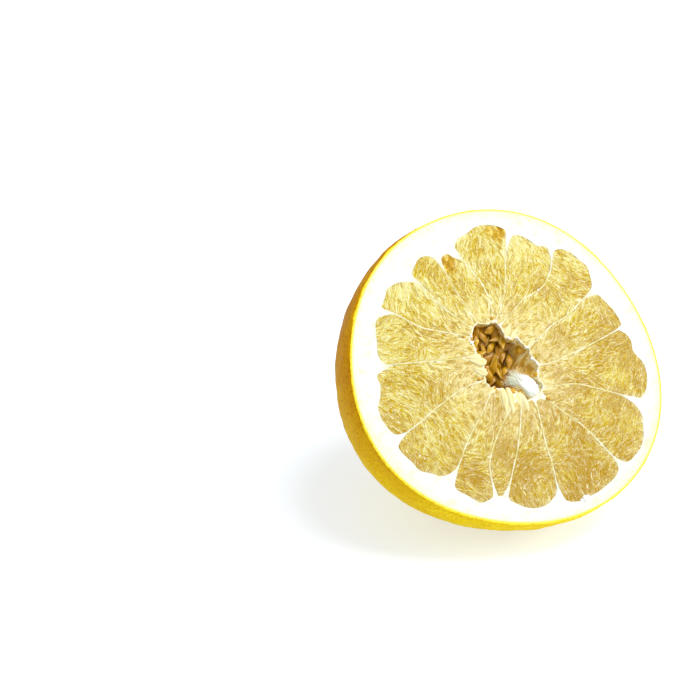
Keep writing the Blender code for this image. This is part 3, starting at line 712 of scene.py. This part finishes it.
def pithMaterial():
    # albedo: spongy white tissue full of air, quite matt, faintly cream beside the pulp
    # and by the peel, brown and stringy down the wall of the core, with painted shade darkening it deeper
    # down the hollow
    material, tree = newMaterial("spongyPith")
    place3d = addNode(tree, "TexCoord", {}, out="Object")
    cloud, flecks, pores = (
        addNode(tree, "TexNoise", {"Vector": place3d, "Scale": size, "Detail": detail, "Roughness": rough})
        for size, detail, rough in ((220.0, 6.0, 0.7), (75.0, 5.0, 0.75), (1400.0, 4.0, 0.5)))
    away = {"operation": "DISTANCE", 0: place3d, 1: place.translation}
    fromMiddle = addNode(tree, "VectorMath", away, out="Value")
    stain, hollowShadeShare, strings = (addNode(tree, "Attribute", {"attribute_name": label}, out="Fac")
                            for label in ("stain", "paintedHollowShade", "strings"))
    white = addNode(tree, "ValToRGB", {"Fac": cloud},
                    ((0.34, "#cfd0b6"), (0.48, "#d5dbd0"), (0.66, "#dfe3dc")))
    cream = addNode(tree, "ValToRGB", {"Fac": cloud},
                    ((0.38, "#c4b870"), (0.50, "#d2c888"), (0.62, "#ece8cc")))
    brown = addNode(tree, "ValToRGB", {"Fac": strings},
                    ((0.2, "#d4a83c"), (0.5, "#f2d47a"), (0.8, "#fff2b4")))
    # painted shade: darkens the colour the deeper down the hollow
    shade = addNode(tree, "ValToRGB", {"Fac": hollowShadeShare},
                    ((0.0, "#ffffff"), (0.55, "#b88a34"), (1.0, "#6a4408")))
    creamy = painted(tree, cream, [
        ("#f6f4e6", (fromMiddle, 0.026, 0.017, 0, 1), (cloud, 0.45, 0.5625, 0.25, 1)),   # beside the hollow
    ])
    walled = painted(tree, white, [
        ("#d6d488", (fromMiddle, 0.0712, 0.0765, 0, 0.35)),                    # beside the peel
        ("#d8d08c", (flecks, 0.63, 0.74, 0, 1)),
        (creamy, (fromMiddle, 0.062, 0.050, 0, 1)),                            # between the segments
        (brown, (stain, 0, 1, 0, 1)),                                          # down the hollow
    ])
    darkened = {"data_type": "RGBA", "blend_type": "MULTIPLY", 0: 1.0, 6: walled, 7: shade}
    colour = addNode(tree, "Mix", darkened, out=2)
    return finishMaterial(material, (pores, 0.25, 0.0002), {
        "Base Color": colour, "Roughness": 0.62, "IOR": 1.38, "Specular IOR Level": 0.2,
        "Subsurface Weight": 0.25, "Subsurface Scale": 0.004, "Subsurface Radius": (1.0, 0.9, 0.7)})


# rings down the wall of the hollow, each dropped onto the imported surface
def coreWall(mouth):
    middle = np.array(pith["hollowMiddle"])
    widths = np.interp(np.linspace(0, 1, pith["wallRings"]),
                       (0, 0.04, 0.34, 0.60, 0.80, 1), (1, 0.985, 0.93, 0.72, 0.4, 0.03))
    rings = []
    for width in widths:
        ring = []
        for point in mouth:
            spot = middle + (point - middle) * width
            hit = pithTree.ray_cast(Vector((*spot, 4.0)), Vector((0, 0, -1)))[0]
            ring.append(Vector((*spot, hit.z if hit else 0.0)))
        rings.append(ring)
    for point in rings[0]:
        point.z = 0.0
    return rings


# a tube with a face over each open end
def closedTube(rings):
    bm = bmesh.new()
    wrappedTube(bm, rings)
    bmesh.ops.remove_doubles(bm, verts=bm.verts[:], dist=0.002)
    for end in range(2):
        openEdges = {e for e in bm.edges if e.is_boundary}
        if openEdges:
            rim = orderedLoop(openEdges)
            rimEdges = {e for v in rim for e in v.link_edges if e.is_boundary}
            bmesh.ops.contextual_create(bm, geom=[*rim, *rimEdges])
    bmesh.ops.recalc_face_normals(bm, faces=bm.faces[:])
    return bm


# the target with the cutters taken out of it, as a mesh; target and cutters are used up
def carved(target, cutters):
    for cutter in cutters:
        cut = target.modifiers.new("cut", "BOOLEAN")
        cut.operation = "DIFFERENCE"
        cut.solver = "MANIFOLD"
        cut.object = cutter
    graph = bpy.context.evaluated_depsgraph_get()
    bm = bmesh.new()
    bm.from_mesh(target.evaluated_get(graph).to_mesh())
    for thing in (target, *cutters):
        mesh = thing.data
        bpy.data.objects.remove(thing)
        bpy.data.meshes.remove(mesh)
    return bm


# a segment's pocket, a little deeper than the pulp in it
def pocketRings(loop, levels, boxes):
    low, high = boxes[0]
    rings = [[Vector((*p, 1.0)) for p in loop]]
    for level, (lowThere, highThere) in zip((pulp["lip"], *levels), boxes):
        scale = (highThere - lowThere) / (high - low)
        moved = (loop - (low + high) / 2) * scale + (lowThere + highThere) / 2
        rings.append([Vector((*p, level - 0.3)) for p in moved])
    return rings


def raggedMouth():
    centre = mouth.mean(axis=0)
    ragged = []
    for p in mouth:
        wander = noise.fractal(Vector((*p, 3.0)) * 0.55, 0.8, 2.0, 4) * pith["raggedness"] * 2
        ragged.append(p + (p - centre) / np.linalg.norm(p - centre) * wander)
    return np.array(ragged)


def makePith(material):
    inset = rind["skin"] + 0.3
    bowlRings = [bowlRing(pith["around"], math.radians(rind["lastDip"] * k / 40), inset) for k in range(41)]
    bowl = newObject("bowl", closedTube(bowlRings))
    cutters = []
    for name in outlines:
        levels, boxes = outlines[name][2:]
        cutters.append(newObject(name, closedTube(pocketRings(pockets[name][::2], levels, boxes))))
    wall = coreWall(raggedMouth()[::2])
    top = [Vector((*p.xy, 1.0)) for p in wall[0]]
    cutters.append(newObject("hollow", closedTube([top, *wall])))
    bm = carved(bowl, cutters)
    print("pith edges that are not closed:", sum(not e.is_manifold for e in bm.edges))

    centre = Vector(pith["hollowMiddle"])
    values = np.zeros((len(bm.verts), 3))
    for v in bm.verts:
        if not -pith["hollowDepth"] < v.co.z < 0.01 or (v.co.xy - centre).length > pith["hollowReach"]:
            continue
        hit = pithTree.ray_cast(Vector((v.co.x, v.co.y, 4.0)), Vector((0, 0, -1)))[0]
        if v.co.z > -0.02 or not hit or abs(hit.z - v.co.z) > 0.8:
            continue
        across, along = pith["strings"]
        run = v.co.x * along + v.co.y * across
        over = v.co.y * along - v.co.x * across
        strings = noise.fractal(Vector((run * 0.12, over * 0.9, v.co.z * 0.25)), 0.8, 2.0, 5)
        right = 1 / (1 + math.exp(-(v.co.x - 3 - 0.45 * (v.co.y - 3)) / 1.5))    # 1 on the shallow side
        values[v.index, 0] = min(max((-v.co.z - 0.3) / 1.8, 0), 1)
        # painted shade: darker the deeper down the hollow, and much weaker on its shallow side
        values[v.index, 1] = min(max((-v.co.z - 4 * right) / 8, 0), 1) * (1 - 0.8 * right)
        values[v.index, 2] = min(max(0.5 + strings * 0.8, 0), 1)
        v.co.z += strings * 0.3 - 0.25
    bmesh.ops.transform(bm, matrix=place, verts=bm.verts[:])
    piece = finishPiece("pithAndWalls", bm, [material], ["pith"], sharp=35)
    for column, label in enumerate(("stain", "paintedHollowShade", "strings")):
        layer = piece.data.attributes.new(label, "FLOAT", "POINT")
        layer.data.foreach_set("value", values[:, column].copy())
    return piece


def pulpMaterial():
    # juice sacs of a white pomelo: thin pale skins round watery straw-coloured flesh,
    # so fine pale lines on a beige ground, ochre where the flesh is open, and darker ochre down between the
    # sacs as painted shade
    material, tree = newMaterial("pomeloPulp")
    tone, border, opened, toRim, dried = (
        addNode(tree, "Attribute", {"attribute_name": label}, out="Fac")
        for label in ("tone", "border", "cutOpen", "toRim", "dried"))
    place3d = addNode(tree, "TexCoord", {}, out="Object")
    heightThere = addNode(tree, "SeparateXYZ", {"Vector": place3d}, out="Z")
    acrossThere = addNode(tree, "SeparateXYZ", {"Vector": place3d}, out="X")
    height = addNode(tree, "Math", {"operation": "MULTIPLY_ADD", 0: acrossThere, 1: -0.3, 2: heightThere})
    away = {"operation": "DISTANCE", 0: place3d, 1: place.translation}
    fromMiddle = addNode(tree, "VectorMath", away, out="Value")
    cloud, patches, gritAndGlints = (
        addNode(tree, "TexNoise", {"Vector": place3d, "Scale": size, "Detail": detail, "Roughness": rough})
        for size, detail, rough in ((420.0, 3.0, 0.6), (60.0, 3.0, 0.5), (1700.0, 2.0, 0.5)))

    # patterns that run along the sacs: on the grain map 0.01 is 1 mm, so a streak is about
    # 0.7 mm across and 7 mm long, and the ridges of the skins are about as fine
    grainUv = addNode(tree, "UVMap", {"uv_map": "grain"})
    grained = []
    for size, shift, detail, rough in (
            ((15.0, 138.0, 1.0), (0.0, 0.0, 0.0), 3.5, 0.6),                   # streaks
            ((11.0, 84.0, 1.0), (3.0, 7.0, 0.0), 1.5, 0.5),                    # ridges
            ((16.0, 150.0, 1.0), (9.0, 2.0, 0.0), 1.0, 0.5)):                  # finer ridges
        spot = addNode(tree, "Mapping", {"Vector": grainUv, "Scale": size, "Location": shift})
        settings = {"Vector": spot, "Scale": 1.0, "Detail": detail, "Roughness": rough}
        grained.append(addNode(tree, "TexNoise", settings))
    streaks, *ridges = grained
    offRidge = []
    for ridge in ridges:
        offset = addNode(tree, "Math", {"operation": "SUBTRACT", 0: ridge, 1: 0.5})
        offRidge.append(addNode(tree, "Math", {"operation": "ABSOLUTE", 0: offset}))

    # straw to ochre: streak by streak, deeper in tone towards the bottom of the fruit
    ground = -1.168
    weights = ((streaks, 1.3), (cloud, 0.35), (tone, 0.10), (height, 2.6), (patches, 0.60), (gritAndGlints, 0.45))
    for value, weight in weights:
        ground = addNode(tree, "Math", {"operation": "MULTIPLY_ADD", 0: value, 1: weight, 2: ground})
    flesh = addNode(tree, "ValToRGB", {"Fac": ground},
                    ((0.28, "#9c7800"), (0.40, "#ae9000"), (0.50, "#baa60c"), (0.63, "#cac276")))
    amber = addNode(tree, "ValToRGB", {"Fac": cloud},
                    ((0.36, "#8c6200"), (0.53, "#b08800"), (0.66, "#d6c468")))

    # pale skins: along the borders between the sacs, in thin lines on them, and in the haze beside the walls
    skin = 0.0
    for ranges in (
            ((border, 0.45, 0.05, 0, 1), (patches, 0.30, 0.50, 0, 1)),
            ((offRidge[0], 0.034, 0.010, 0, 1), (cloud, 0.32, 0.46, 0, 1)),
            ((offRidge[1], 0.036, 0.012, 0, 0.6), (cloud, 0.32, 0.46, 0, 1)),
            ((toRim, 0.85, 0.05, 0, 1), (patches, 0.44, 0.58, 0, 1), (streaks, 0.42, 0.56, 0, 1))):
        skin = addNode(tree, "Math", {"operation": "MAXIMUM", 0: shareOf(tree, ranges), 1: skin})
    colour = painted(tree, flesh, [
        ("#d6d6b8", (skin, 0, 1, 0, 1), (height, 0.030, 0.085, 0.78, 1), (streaks, 0.45, 0.54, 0, 1)),
        ("#dccf9e", (fromMiddle, 0.040, 0.018, 0, 0.55), (cloud, 0.30, 0.62, 0, 1)),   # beside the core
        # painted shade: darker ochre where the sacs lie below the cut, in the gaps between them
        ("#9c7c00", (opened, 0.40, 0.05, 0, 0.5)),                             # down between the sacs
        (amber, (dried, 0, 1, 0, 0.92)),                                       # dried flesh, see-through
        # painted highlight: specks of pale colour standing in for glints on the wet juice
        ("#efeccf", (gritAndGlints, 0.66, 0.72, 0, 0.6)),                               # glints of juice
    ])
    return finishMaterial(material, (streaks, 0.3, 0.0003), {
        "Base Color": colour, "Roughness": 0.32, "IOR": 1.35, "Specular IOR Level": 0.1,
        "Subsurface Weight": 0.1, "Subsurface Scale": 0.001, "Subsurface Radius": (1.0, 0.75, 0.3)})


# core sacs: whole juice sacs in the hollow

coreSacs = {
    # mm on the face: the first sac, the steps to the next, the middle of their bed and how it slopes
    "start": (-13.0, -8.0), "step": (3.5, 3.0), "rows": 12, "columns": 7,
    "bed": (-4.0, 8.5, -8.6), "slope": (0.25, 0.30),
    "spread": (9.5, 16.0),                               # half axes of the oval that they fill
    "ball": (9.0, 14.0, 3.5), "ballDrop": 0.8,           # what shows between them
    "length": (6.6, 10.4), "width": (3.6, 5.2),
    "headings": (0, 110), "pitches": (-12, 30), "rolls": (-40, 40),            # degrees
    "turned": 0.3,                                       # share that point the other way
    "lift": 1.1,
}


def coreSacMaterial():
    # whole sacs, dry enough to brown: a tough amber skin, glossy, paler along the edges as painted sheen,
    # and darker the deeper a sac lies as painted shade
    material, tree = newMaterial("amberJuiceSac")
    tone, edge = (addNode(tree, "Attribute", {"attribute_name": label}, out="Fac")
                  for label in ("tone", "edge"))
    place3d = addNode(tree, "TexCoord", {}, out="Object")
    mottle = addNode(tree, "TexNoise", {"Vector": place3d, "Scale": 350.0, "Detail": 4.0})
    body = addNode(tree, "ValToRGB", {"Fac": tone},
                   ((0.0, "#946400"), (0.4, "#b48000"), (0.75, "#c29400"), (1.0, "#d2ac20")))
    return finishMaterial(material, (mottle, 0.3, 0.0003), {
        "Base Color": painted(tree, body, [
            # painted sheen: a paler tone along the sides of each sac
            ("#e4c468", (edge, 0, 1, 0, 0.6)),
            ("#805400", (mottle, 0, 1, 0, 0.5))]),
        "Roughness": 0.35, "IOR": 1.42, "Specular IOR Level": 0.15,
        "Coat Weight": 0.5, "Coat Roughness": 0.12,
        "Subsurface Weight": 0.2, "Subsurface Scale": 0.002, "Subsurface Radius": (1.0, 0.45, 0.08)})


# a juice sac: a drop laid along its heading, thick at one end, turned by heading, pitch and roll in degrees
def addTeardrop(bm, layers, spot, angles, length, width, tone, sides=14, ends=12, flat=0.6, blunt=0.0):
    heading, pitch, roll = (math.radians(angle) for angle in angles)
    drop = bmesh.ops.create_uvsphere(bm, u_segments=sides, v_segments=ends, radius=1.0)["verts"]
    turn = Matrix.Rotation(heading, 4, "Z") @ Matrix.Rotation(-pitch, 4, "Y") @ Matrix.Rotation(roll, 4, "X")
    for v in drop:
        share = (v.co.z + 1) / 2                         # 0 at the thick end, 1 at the tip
        swell = math.sin(math.pi * min(share * 1.5 + 0.08, 1) ** 0.8 * 0.5) if share < 0.6 else 1.0
        swell = blunt + (1 - blunt) * swell
        taper = 1 - max(share - 0.35, 0) / 0.65 * 0.86
        across = v.co.xy.normalized() if v.co.xy.length > 1e-6 else Vector((0, 0))
        radius = math.sqrt(max(1 - (2 * share - 1) ** 2, 0)) ** 0.6 * taper * swell * width / 2
        shaped = Vector((v.co.z * length / 2, across.x * radius, across.y * radius * flat))
        shaped.y += 0.5 * math.sin(math.pi * share)
        shaped.z -= 0.9 * (share - 0.5) ** 2
        # how far towards a side of the sac, where its colour is paled as painted sheen
        v[layers[1]] = max(abs(across.x) - 0.62, 0) * 2.4
        v[layers[0]] = tone
        v.co = Vector(spot) + turn @ shaped
    return drop


def bedHeight(s, t):
    middle, slope = coreSacs["bed"], coreSacs["slope"]
    return middle[2] + slope[0] * (s - middle[0]) + slope[1] * (t - middle[1])


def makeCoreSacs(material):
    rng = random.Random(21)
    bm = bmesh.new()
    layers = [bm.verts.layers.float.new(label) for label in ("tone", "edge")]
    start, step, middle, spread = (coreSacs[k] for k in ("start", "step", "bed", "spread"))
    for row in range(coreSacs["rows"]):
        for column in range(coreSacs["columns"]):
            s = start[0] + step[0] * (column + 0.5 * (row % 2)) + rng.uniform(-0.8, 0.8)
            t = start[1] + step[1] * row + rng.uniform(-0.7, 0.7)
            if ((s - middle[0]) / spread[0]) ** 2 + ((t - middle[1]) / spread[1]) ** 2 > 1:
                continue
            heading = rng.uniform(*coreSacs["headings"]) + (180 if rng.random() < coreSacs["turned"] else 0)
            lift = rng.uniform(-coreSacs["lift"], coreSacs["lift"])
            pitch, roll = rng.uniform(*coreSacs["pitches"]), rng.uniform(*coreSacs["rolls"])
            length, width = rng.uniform(*coreSacs["length"]), rng.uniform(*coreSacs["width"])
            # painted shade and light: a sac lying lower gets a darker tone and one lying higher a lighter,
            # with some random spread
            tone = min(max(0.5 + lift * 0.4 + rng.uniform(-0.2, 0.2), 0), 1)
            spot = (s, t, bedHeight(s, t) + lift)
            addTeardrop(bm, layers, spot, (heading, pitch, roll), length, width, tone)
    ball = bmesh.ops.create_icosphere(bm, subdivisions=3, radius=1.0)["verts"]
    for v in ball:
        s, t = (middle[k] + coreSacs["ball"][k] * v.co[k] for k in (0, 1))
        v.co = (s, t, bedHeight(s, t) - coreSacs["ballDrop"] + (v.co.z - 1) * coreSacs["ball"][2])
        # painted shade: the bed between the sacs takes the darkest tone
        v[layers[0]] = 0.0
    bmesh.ops.transform(bm, matrix=place, verts=bm.verts[:])
    return finishPiece("coreSacBunch", bm, [material], ["core_sacs"])


# sacs that the knife left whole round the hollow: they hang over its edge

overhangs = {
    "sides": 20, "ends": 18, "flat": 0.32, "blunt": 0.8,
    # where about on the edge, heading in degrees, length, width, height of the middle
    "sacs": (
        (-11.4, 4.8, -25, 10.0, 4.6, 0.0), (-12.6, 7.8, -5, 8.0, 3.6, -0.2),
        (-12.0, -0.6, -38, 9.0, 3.4, 0.0), (-12.9, 1.9, -18, 8.5, 3.4, -0.4),
        (-9.6, -7.6, 20, 7.0, 3.0, -0.3), (-6.4, -11.0, 80, 13.0, 3.6, -0.2),
        (-4.2, -11.6, 86, 14.0, 3.8, 0.0), (-1.0, -14.6, 92, 9.5, 3.4, -0.45),
        (1.8, -14.2, 98, 12.0, 3.0, -0.3), (4.0, -15.4, 94, 9.0, 2.8, -0.35),
        (5.0, 14.6, -130, 9.0, 3.6, -0.5), (6.8, 13.2, -138, 8.0, 3.2, -0.3)),
}


def paleSacMaterial():
    # the same sacs uncut: the dull whitish skin hides the juice, with faint fibres along it
    material, tree = newMaterial("uncutSacSkin")
    grainUv = addNode(tree, "UVMap", {"uv_map": "grain"})
    stretched = addNode(tree, "Mapping", {"Vector": grainUv, "Scale": (9.0, 140.0, 1.0)})   # 0.01 is 1 mm
    fibres = addNode(tree, "TexNoise", {"Vector": stretched, "Scale": 1.0, "Detail": 4.0, "Roughness": 0.6})
    tone = addNode(tree, "Attribute", {"attribute_name": "tone"}, out="Fac")
    skin = addNode(tree, "ValToRGB", {"Fac": fibres},
                   ((0.34, "#b8982c"), (0.47, "#cfbf78"), (0.60, "#e6e0be")))
    return finishMaterial(material, (fibres, 0.4, 0.0003), {
        "Base Color": painted(tree, skin, [("#ddd3a0", (tone, 0, 1, 0, 0.5))]),
        "Roughness": 0.4, "IOR": 1.38, "Specular IOR Level": 0.3,
        "Subsurface Weight": 0.2, "Subsurface Scale": 0.002, "Subsurface Radius": (1.0, 0.8, 0.4)})


def makeOverhangs(material):
    rng = random.Random(4)
    bm = bmesh.new()
    layers = [bm.verts.layers.float.new(label) for label in ("tone", "edge")]
    uv = bm.loops.layers.uv.new("grain")
    shape = [overhangs[k] for k in ("sides", "ends", "flat", "blunt")]
    for s, t, degrees, length, width, w in overhangs["sacs"]:
        heading = math.radians(degrees)
        ahead = Vector((math.cos(heading), math.sin(heading)))
        edge = mouth[np.linalg.norm(mouth - np.array((s, t)), axis=1).argmin()]
        middle = Vector(edge) + ahead * (rng.uniform(0.6, 2.0) - length / 2)
        angles = (degrees + 180, rng.uniform(-3, 3), rng.uniform(-12, 12))
        tone = rng.uniform(0.5, 1)
        drop = addTeardrop(bm, layers, (*middle, w + 0.25), angles, length, width, tone, *shape)
        offset = rng.uniform(0, 5)
        for face in {f for v in drop for f in v.link_faces}:
            for loop in face.loops:
                local = loop.vert.co.xy - middle
                loop[uv].uv = (0.01 * local.dot(ahead) + offset, 0.01 * local.cross(ahead) + offset)
    bmesh.ops.transform(bm, matrix=place, verts=bm.verts[:])
    return finishPiece("overhangingSacs", bm, [material])


# tuft: torn white pith standing up in the hollow

tuft = {
    "root": (11.4, -16.6), "tip": (0.6, -4.4), "bow": 1.7,                     # mm on the face
    "radii": (5.6, 2.9), "height": -4.4,
    "strands": 620, "strandLength": (1.6, 4.6), "strandRadius": (0.12, 0.28),
}


def fluffMaterial():
    # torn albedo: loose bright fibres, the whitest thing in the fruit, creamier at their tips
    material, tree = newMaterial("tornPith")
    place3d = addNode(tree, "TexCoord", {}, out="Object")
    cloud = addNode(tree, "TexNoise", {"Vector": place3d, "Scale": 400.0, "Detail": 5.0})
    tone = addNode(tree, "Attribute", {"attribute_name": "tone"}, out="Fac")
    both = addNode(tree, "Math", {"operation": "ADD", 0: tone, 1: cloud})
    towardsTip = addNode(tree, "Math", {"operation": "SUBTRACT", 0: both, 1: 0.5})
    colour = addNode(tree, "ValToRGB", {"Fac": towardsTip},
                     ((0.35, "#fdfdf2"), (0.68, "#f6f3de"), (1.0, "#e6deb8")))
    return finishMaterial(material, (cloud, 0.4, 0.0003), {
        "Base Color": colour, "Roughness": 0.7, "IOR": 1.38,
        "Subsurface Weight": 0.3, "Subsurface Scale": 0.003})


# how thick the tuft is some way along it, and where its bowed middle line is
def alongTuft(share, reach=1.0):
    root, tip = Vector(tuft["root"]), Vector(tuft["tip"])
    run = tip - root
    side = Vector((-run.y, run.x)).normalized()
    radius = tuft["radii"][0] + (tuft["radii"][1] - tuft["radii"][0]) * share
    middle = root + run * share * reach - side * tuft["bow"] * 4 * share * (1 - share)
    return radius, middle, side, math.atan2(run.y, run.x)


def makeTuft(material):
    rng = random.Random(8)
    bm = bmesh.new()
    toneLayer = bm.verts.layers.float.new("tone")
    ball = bmesh.ops.create_uvsphere(bm, u_segments=36, v_segments=26, radius=1.0)["verts"]
    for v in ball:
        share = (v.co.z + 1) / 2
        radius, middle, side, heading = alongTuft(share)
        radius *= 1 + 0.3 * noise.fractal(v.co * 1.6, 0.8, 2.0, 4)
        v[toneLayer] = share ** 2
        v.co = Vector((*(middle + side * v.co.x * radius), tuft["height"] - v.co.y * radius))
    for k in range(tuft["strands"]):
        share = rng.random() ** 0.7
        radius, middle, side, heading = alongTuft(share, 0.95)
        radius *= 0.85
        around = rng.uniform(0.05, math.pi - 0.05)
        middle += side * math.cos(around) * radius
        foot = Vector((*middle, tuft["height"] + math.sin(around) * radius))
        heading += rng.gauss(0, 0.3) + math.cos(around) * 0.5 + 0.6 * (share - 0.5)
        pitch = rng.uniform(-0.25, 0.35)
        length = rng.uniform(*tuft["strandLength"]) * (0.3 + 0.9 * share)
        thick = rng.uniform(*tuft["strandRadius"])
        cone = bmesh.ops.create_cone(bm, segments=4, cap_ends=True, radius1=thick, radius2=0.03,
                                     depth=length)["verts"]
        turn = Matrix.Rotation(heading, 4, "Z") @ Matrix.Rotation(math.pi / 2 - pitch, 4, "Y")
        for v in cone:
            v[toneLayer] = share ** 2
            v.co = foot + turn @ (v.co + Vector((0, 0, length * 0.35)))
    bmesh.ops.transform(bm, matrix=place, verts=bm.verts[:])
    return finishPiece("tornTuft", bm, [material])


# seeds

seedCoats = {
    "growth": 1.3,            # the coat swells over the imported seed
    "lumps": 0.10,            # share of its size that the surface strays
}


def seedMaterial():
    # small unripe seed coats: smooth, orange brown, mottled paler and darker
    material, tree = newMaterial("seedCoat")
    place3d = addNode(tree, "TexCoord", {}, out="Object")
    mottle = addNode(tree, "TexNoise", {"Vector": place3d, "Scale": 900.0, "Detail": 3.0})
    colour = addNode(tree, "ValToRGB", {"Fac": mottle},
                     ((0.3, "#a06a00"), (0.5, "#c89000"), (0.7, "#e0b020")))
    return finishMaterial(material, (mottle, 0.2, 0.0002), {
        "Base Color": colour, "Roughness": 0.4, "IOR": 1.45, "Subsurface Weight": 0.1})


def makeSeeds(material):
    for name in ("seed_1", "seed_2", "seed_3"):
        low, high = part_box(name)
        bm = bmesh.new()
        ball = bmesh.ops.create_uvsphere(bm, u_segments=28, v_segments=18, radius=1.0)["verts"]
        size = (high - low) / 2 * seedCoats["growth"]
        for v in ball:
            rough = 1 + seedCoats["lumps"] * noise.noise(v.co * 1.7 + Vector((len(name), low.x * 900, 0)))
            v.co = (low + high) / 2 + Vector(c * k * rough for c, k in zip(v.co, size))
        finishPiece(name.replace("_", "") + "Coat", bm, [material], [name])


# crumbs left by the knife

# each lot: its slot, the seed of its draws, and where on the face its crumbs lie and how big they are, in mm
crumbs = {
    "pithCrumbs": ("pith", 11, (
        (16.4, -68.7, 1.5), (18.2, -68.0, 0.9), (14.6, -69.0, 0.8), (-55.6, -31.2, 0.4),
        (-53.8, -33.0, 0.3), (28.0, 33.0, 0.45), (-13.4, 15.0, 0.8), (-12.6, 18.2, 0.6))),
    "seedBits": ("seed", 12, (
        (0.5, 24.3, 0.8), (14.6, -18.8, 0.8), (-15.6, -2.8, 0.7), (-16.2, 18.5, 0.6),
        (-9.4, -8.6, 0.6), (15.6, -19.6, 0.5))),
}


def makeCrumbs(name, material):
    slot, seed, spots = crumbs[name]
    rng = random.Random(seed)
    bm = bmesh.new()
    for s, t, radius in spots:
        ball = bmesh.ops.create_icosphere(bm, subdivisions=3, radius=1.0)["verts"]
        shift = Vector((rng.uniform(0, 50), 0, 0))
        stretch = rng.uniform(0.7, 1.3)
        for v in ball:
            rough = radius * (1 + 0.6 * noise.fractal(v.co * 1.6 + shift, 0.8, 2.0, 3))
            v.co = (s + v.co.x * rough * stretch, t + v.co.y * rough / stretch, v.co.z * rough * 0.6 + 0.1)
    bmesh.ops.transform(bm, matrix=place, verts=bm.verts[:])
    return finishPiece(name, bm, [material])


# all pieces

pulpFlesh = pulpMaterial()
sacCount = sum(makePulp(number, pulpFlesh) for number in range(1, 17))
print("cut sacs laid:", sacCount)
makeRind([skinMaterial(), cutSkinMaterial()])
print("peel made")
makePith(pithMaterial())
print("pith made")
makeCoreSacs(coreSacMaterial())
makeOverhangs(paleSacMaterial())
fluff = fluffMaterial()
makeTuft(fluff)
seedCoat = seedMaterial()
makeSeeds(seedCoat)
makeCrumbs("pithCrumbs", fluff)
makeCrumbs("seedBits", seedCoat)
print("core made")


# floor, light and camera

studio = {
    "floorColour": "#c4cad2", "floorGlow": ("#f4f9ff", 0.57), "floorHalf": 4.0,          # metres
    "surround": 0.62,
    "aim": (0, 0, 0.06),
    # where each lamp stands, how wide it is, in metres, its watts and its colour
    "lamps": {
        "softTop": ((0.6, -0.4, 1.6), 1.2, 27.0, (1.0, 0.99, 0.97)),
        "softRight": ((1.3, -1.1, 1.0), 0.9, 14.0, (1.0, 1.0, 1.0)),
    },
}
view = {"azimuth": -24.40, "elevation": 28.50, "lens": 110.9, "distance": 1.0, "shift": (-0.07292, 0.00786)}


def addFloor():
    bm = bmesh.new()
    bmesh.ops.create_grid(bm, x_segments=1, y_segments=1, size=studio["floorHalf"])
    floor = newObject("floor", bm)
    material, tree = newMaterial("litWhiteTable")
    glow, strength = studio["floorGlow"]
    setNode(tree, tree.nodes["Principled BSDF"], {
        "Base Color": srgb(studio["floorColour"]), "Roughness": 0.9,
        "Emission Color": srgb(glow), "Emission Strength": strength})
    floor.data.materials.append(material)


def addLamps():
    world = bpy.data.worlds.new("studio")
    bpy.context.scene.world = world
    world.use_nodes = True
    setNode(world.node_tree, world.node_tree.nodes["Background"], {
        "Color": (1.0, 1.0, 1.0, 1.0), "Strength": studio["surround"]})
    for name, (spot, width, watts, colour) in studio["lamps"].items():
        data = bpy.data.lights.new(name, "AREA")
        data.shape = "DISK"
        data.size = width
        data.energy = watts
        data.color = colour
        lamp = bpy.data.objects.new(name, data)
        bpy.context.scene.collection.objects.link(lamp)
        lamp.location = spot
        lamp.rotation_euler = (Vector(studio["aim"]) - lamp.location).to_track_quat("-Z", "Y").to_euler()


def addCamera():
    a, e = math.radians(view["azimuth"]), math.radians(view["elevation"])
    right = Vector((math.cos(a), math.sin(a), 0))
    up = Vector((-math.sin(a) * math.sin(e), math.cos(a) * math.sin(e), math.cos(e)))
    back = Vector((math.sin(a) * math.cos(e), -math.cos(a) * math.cos(e), math.sin(e)))
    data = bpy.data.cameras.new("camera")
    data.lens = view["lens"]
    data.clip_end = 20
    camera = bpy.data.objects.new("camera", data)
    bpy.context.scene.collection.objects.link(camera)
    across, rise = view["shift"]
    spot = place.translation + right * across + up * rise + back * view["distance"]
    camera.matrix_world = Matrix.Translation(spot) @ Matrix((right, up, back)).transposed().to_4x4()
    bpy.context.scene.camera = camera


addFloor()
addLamps()
addCamera()
print("studio set")
bpy.context.scene.view_settings.view_transform = "Standard"
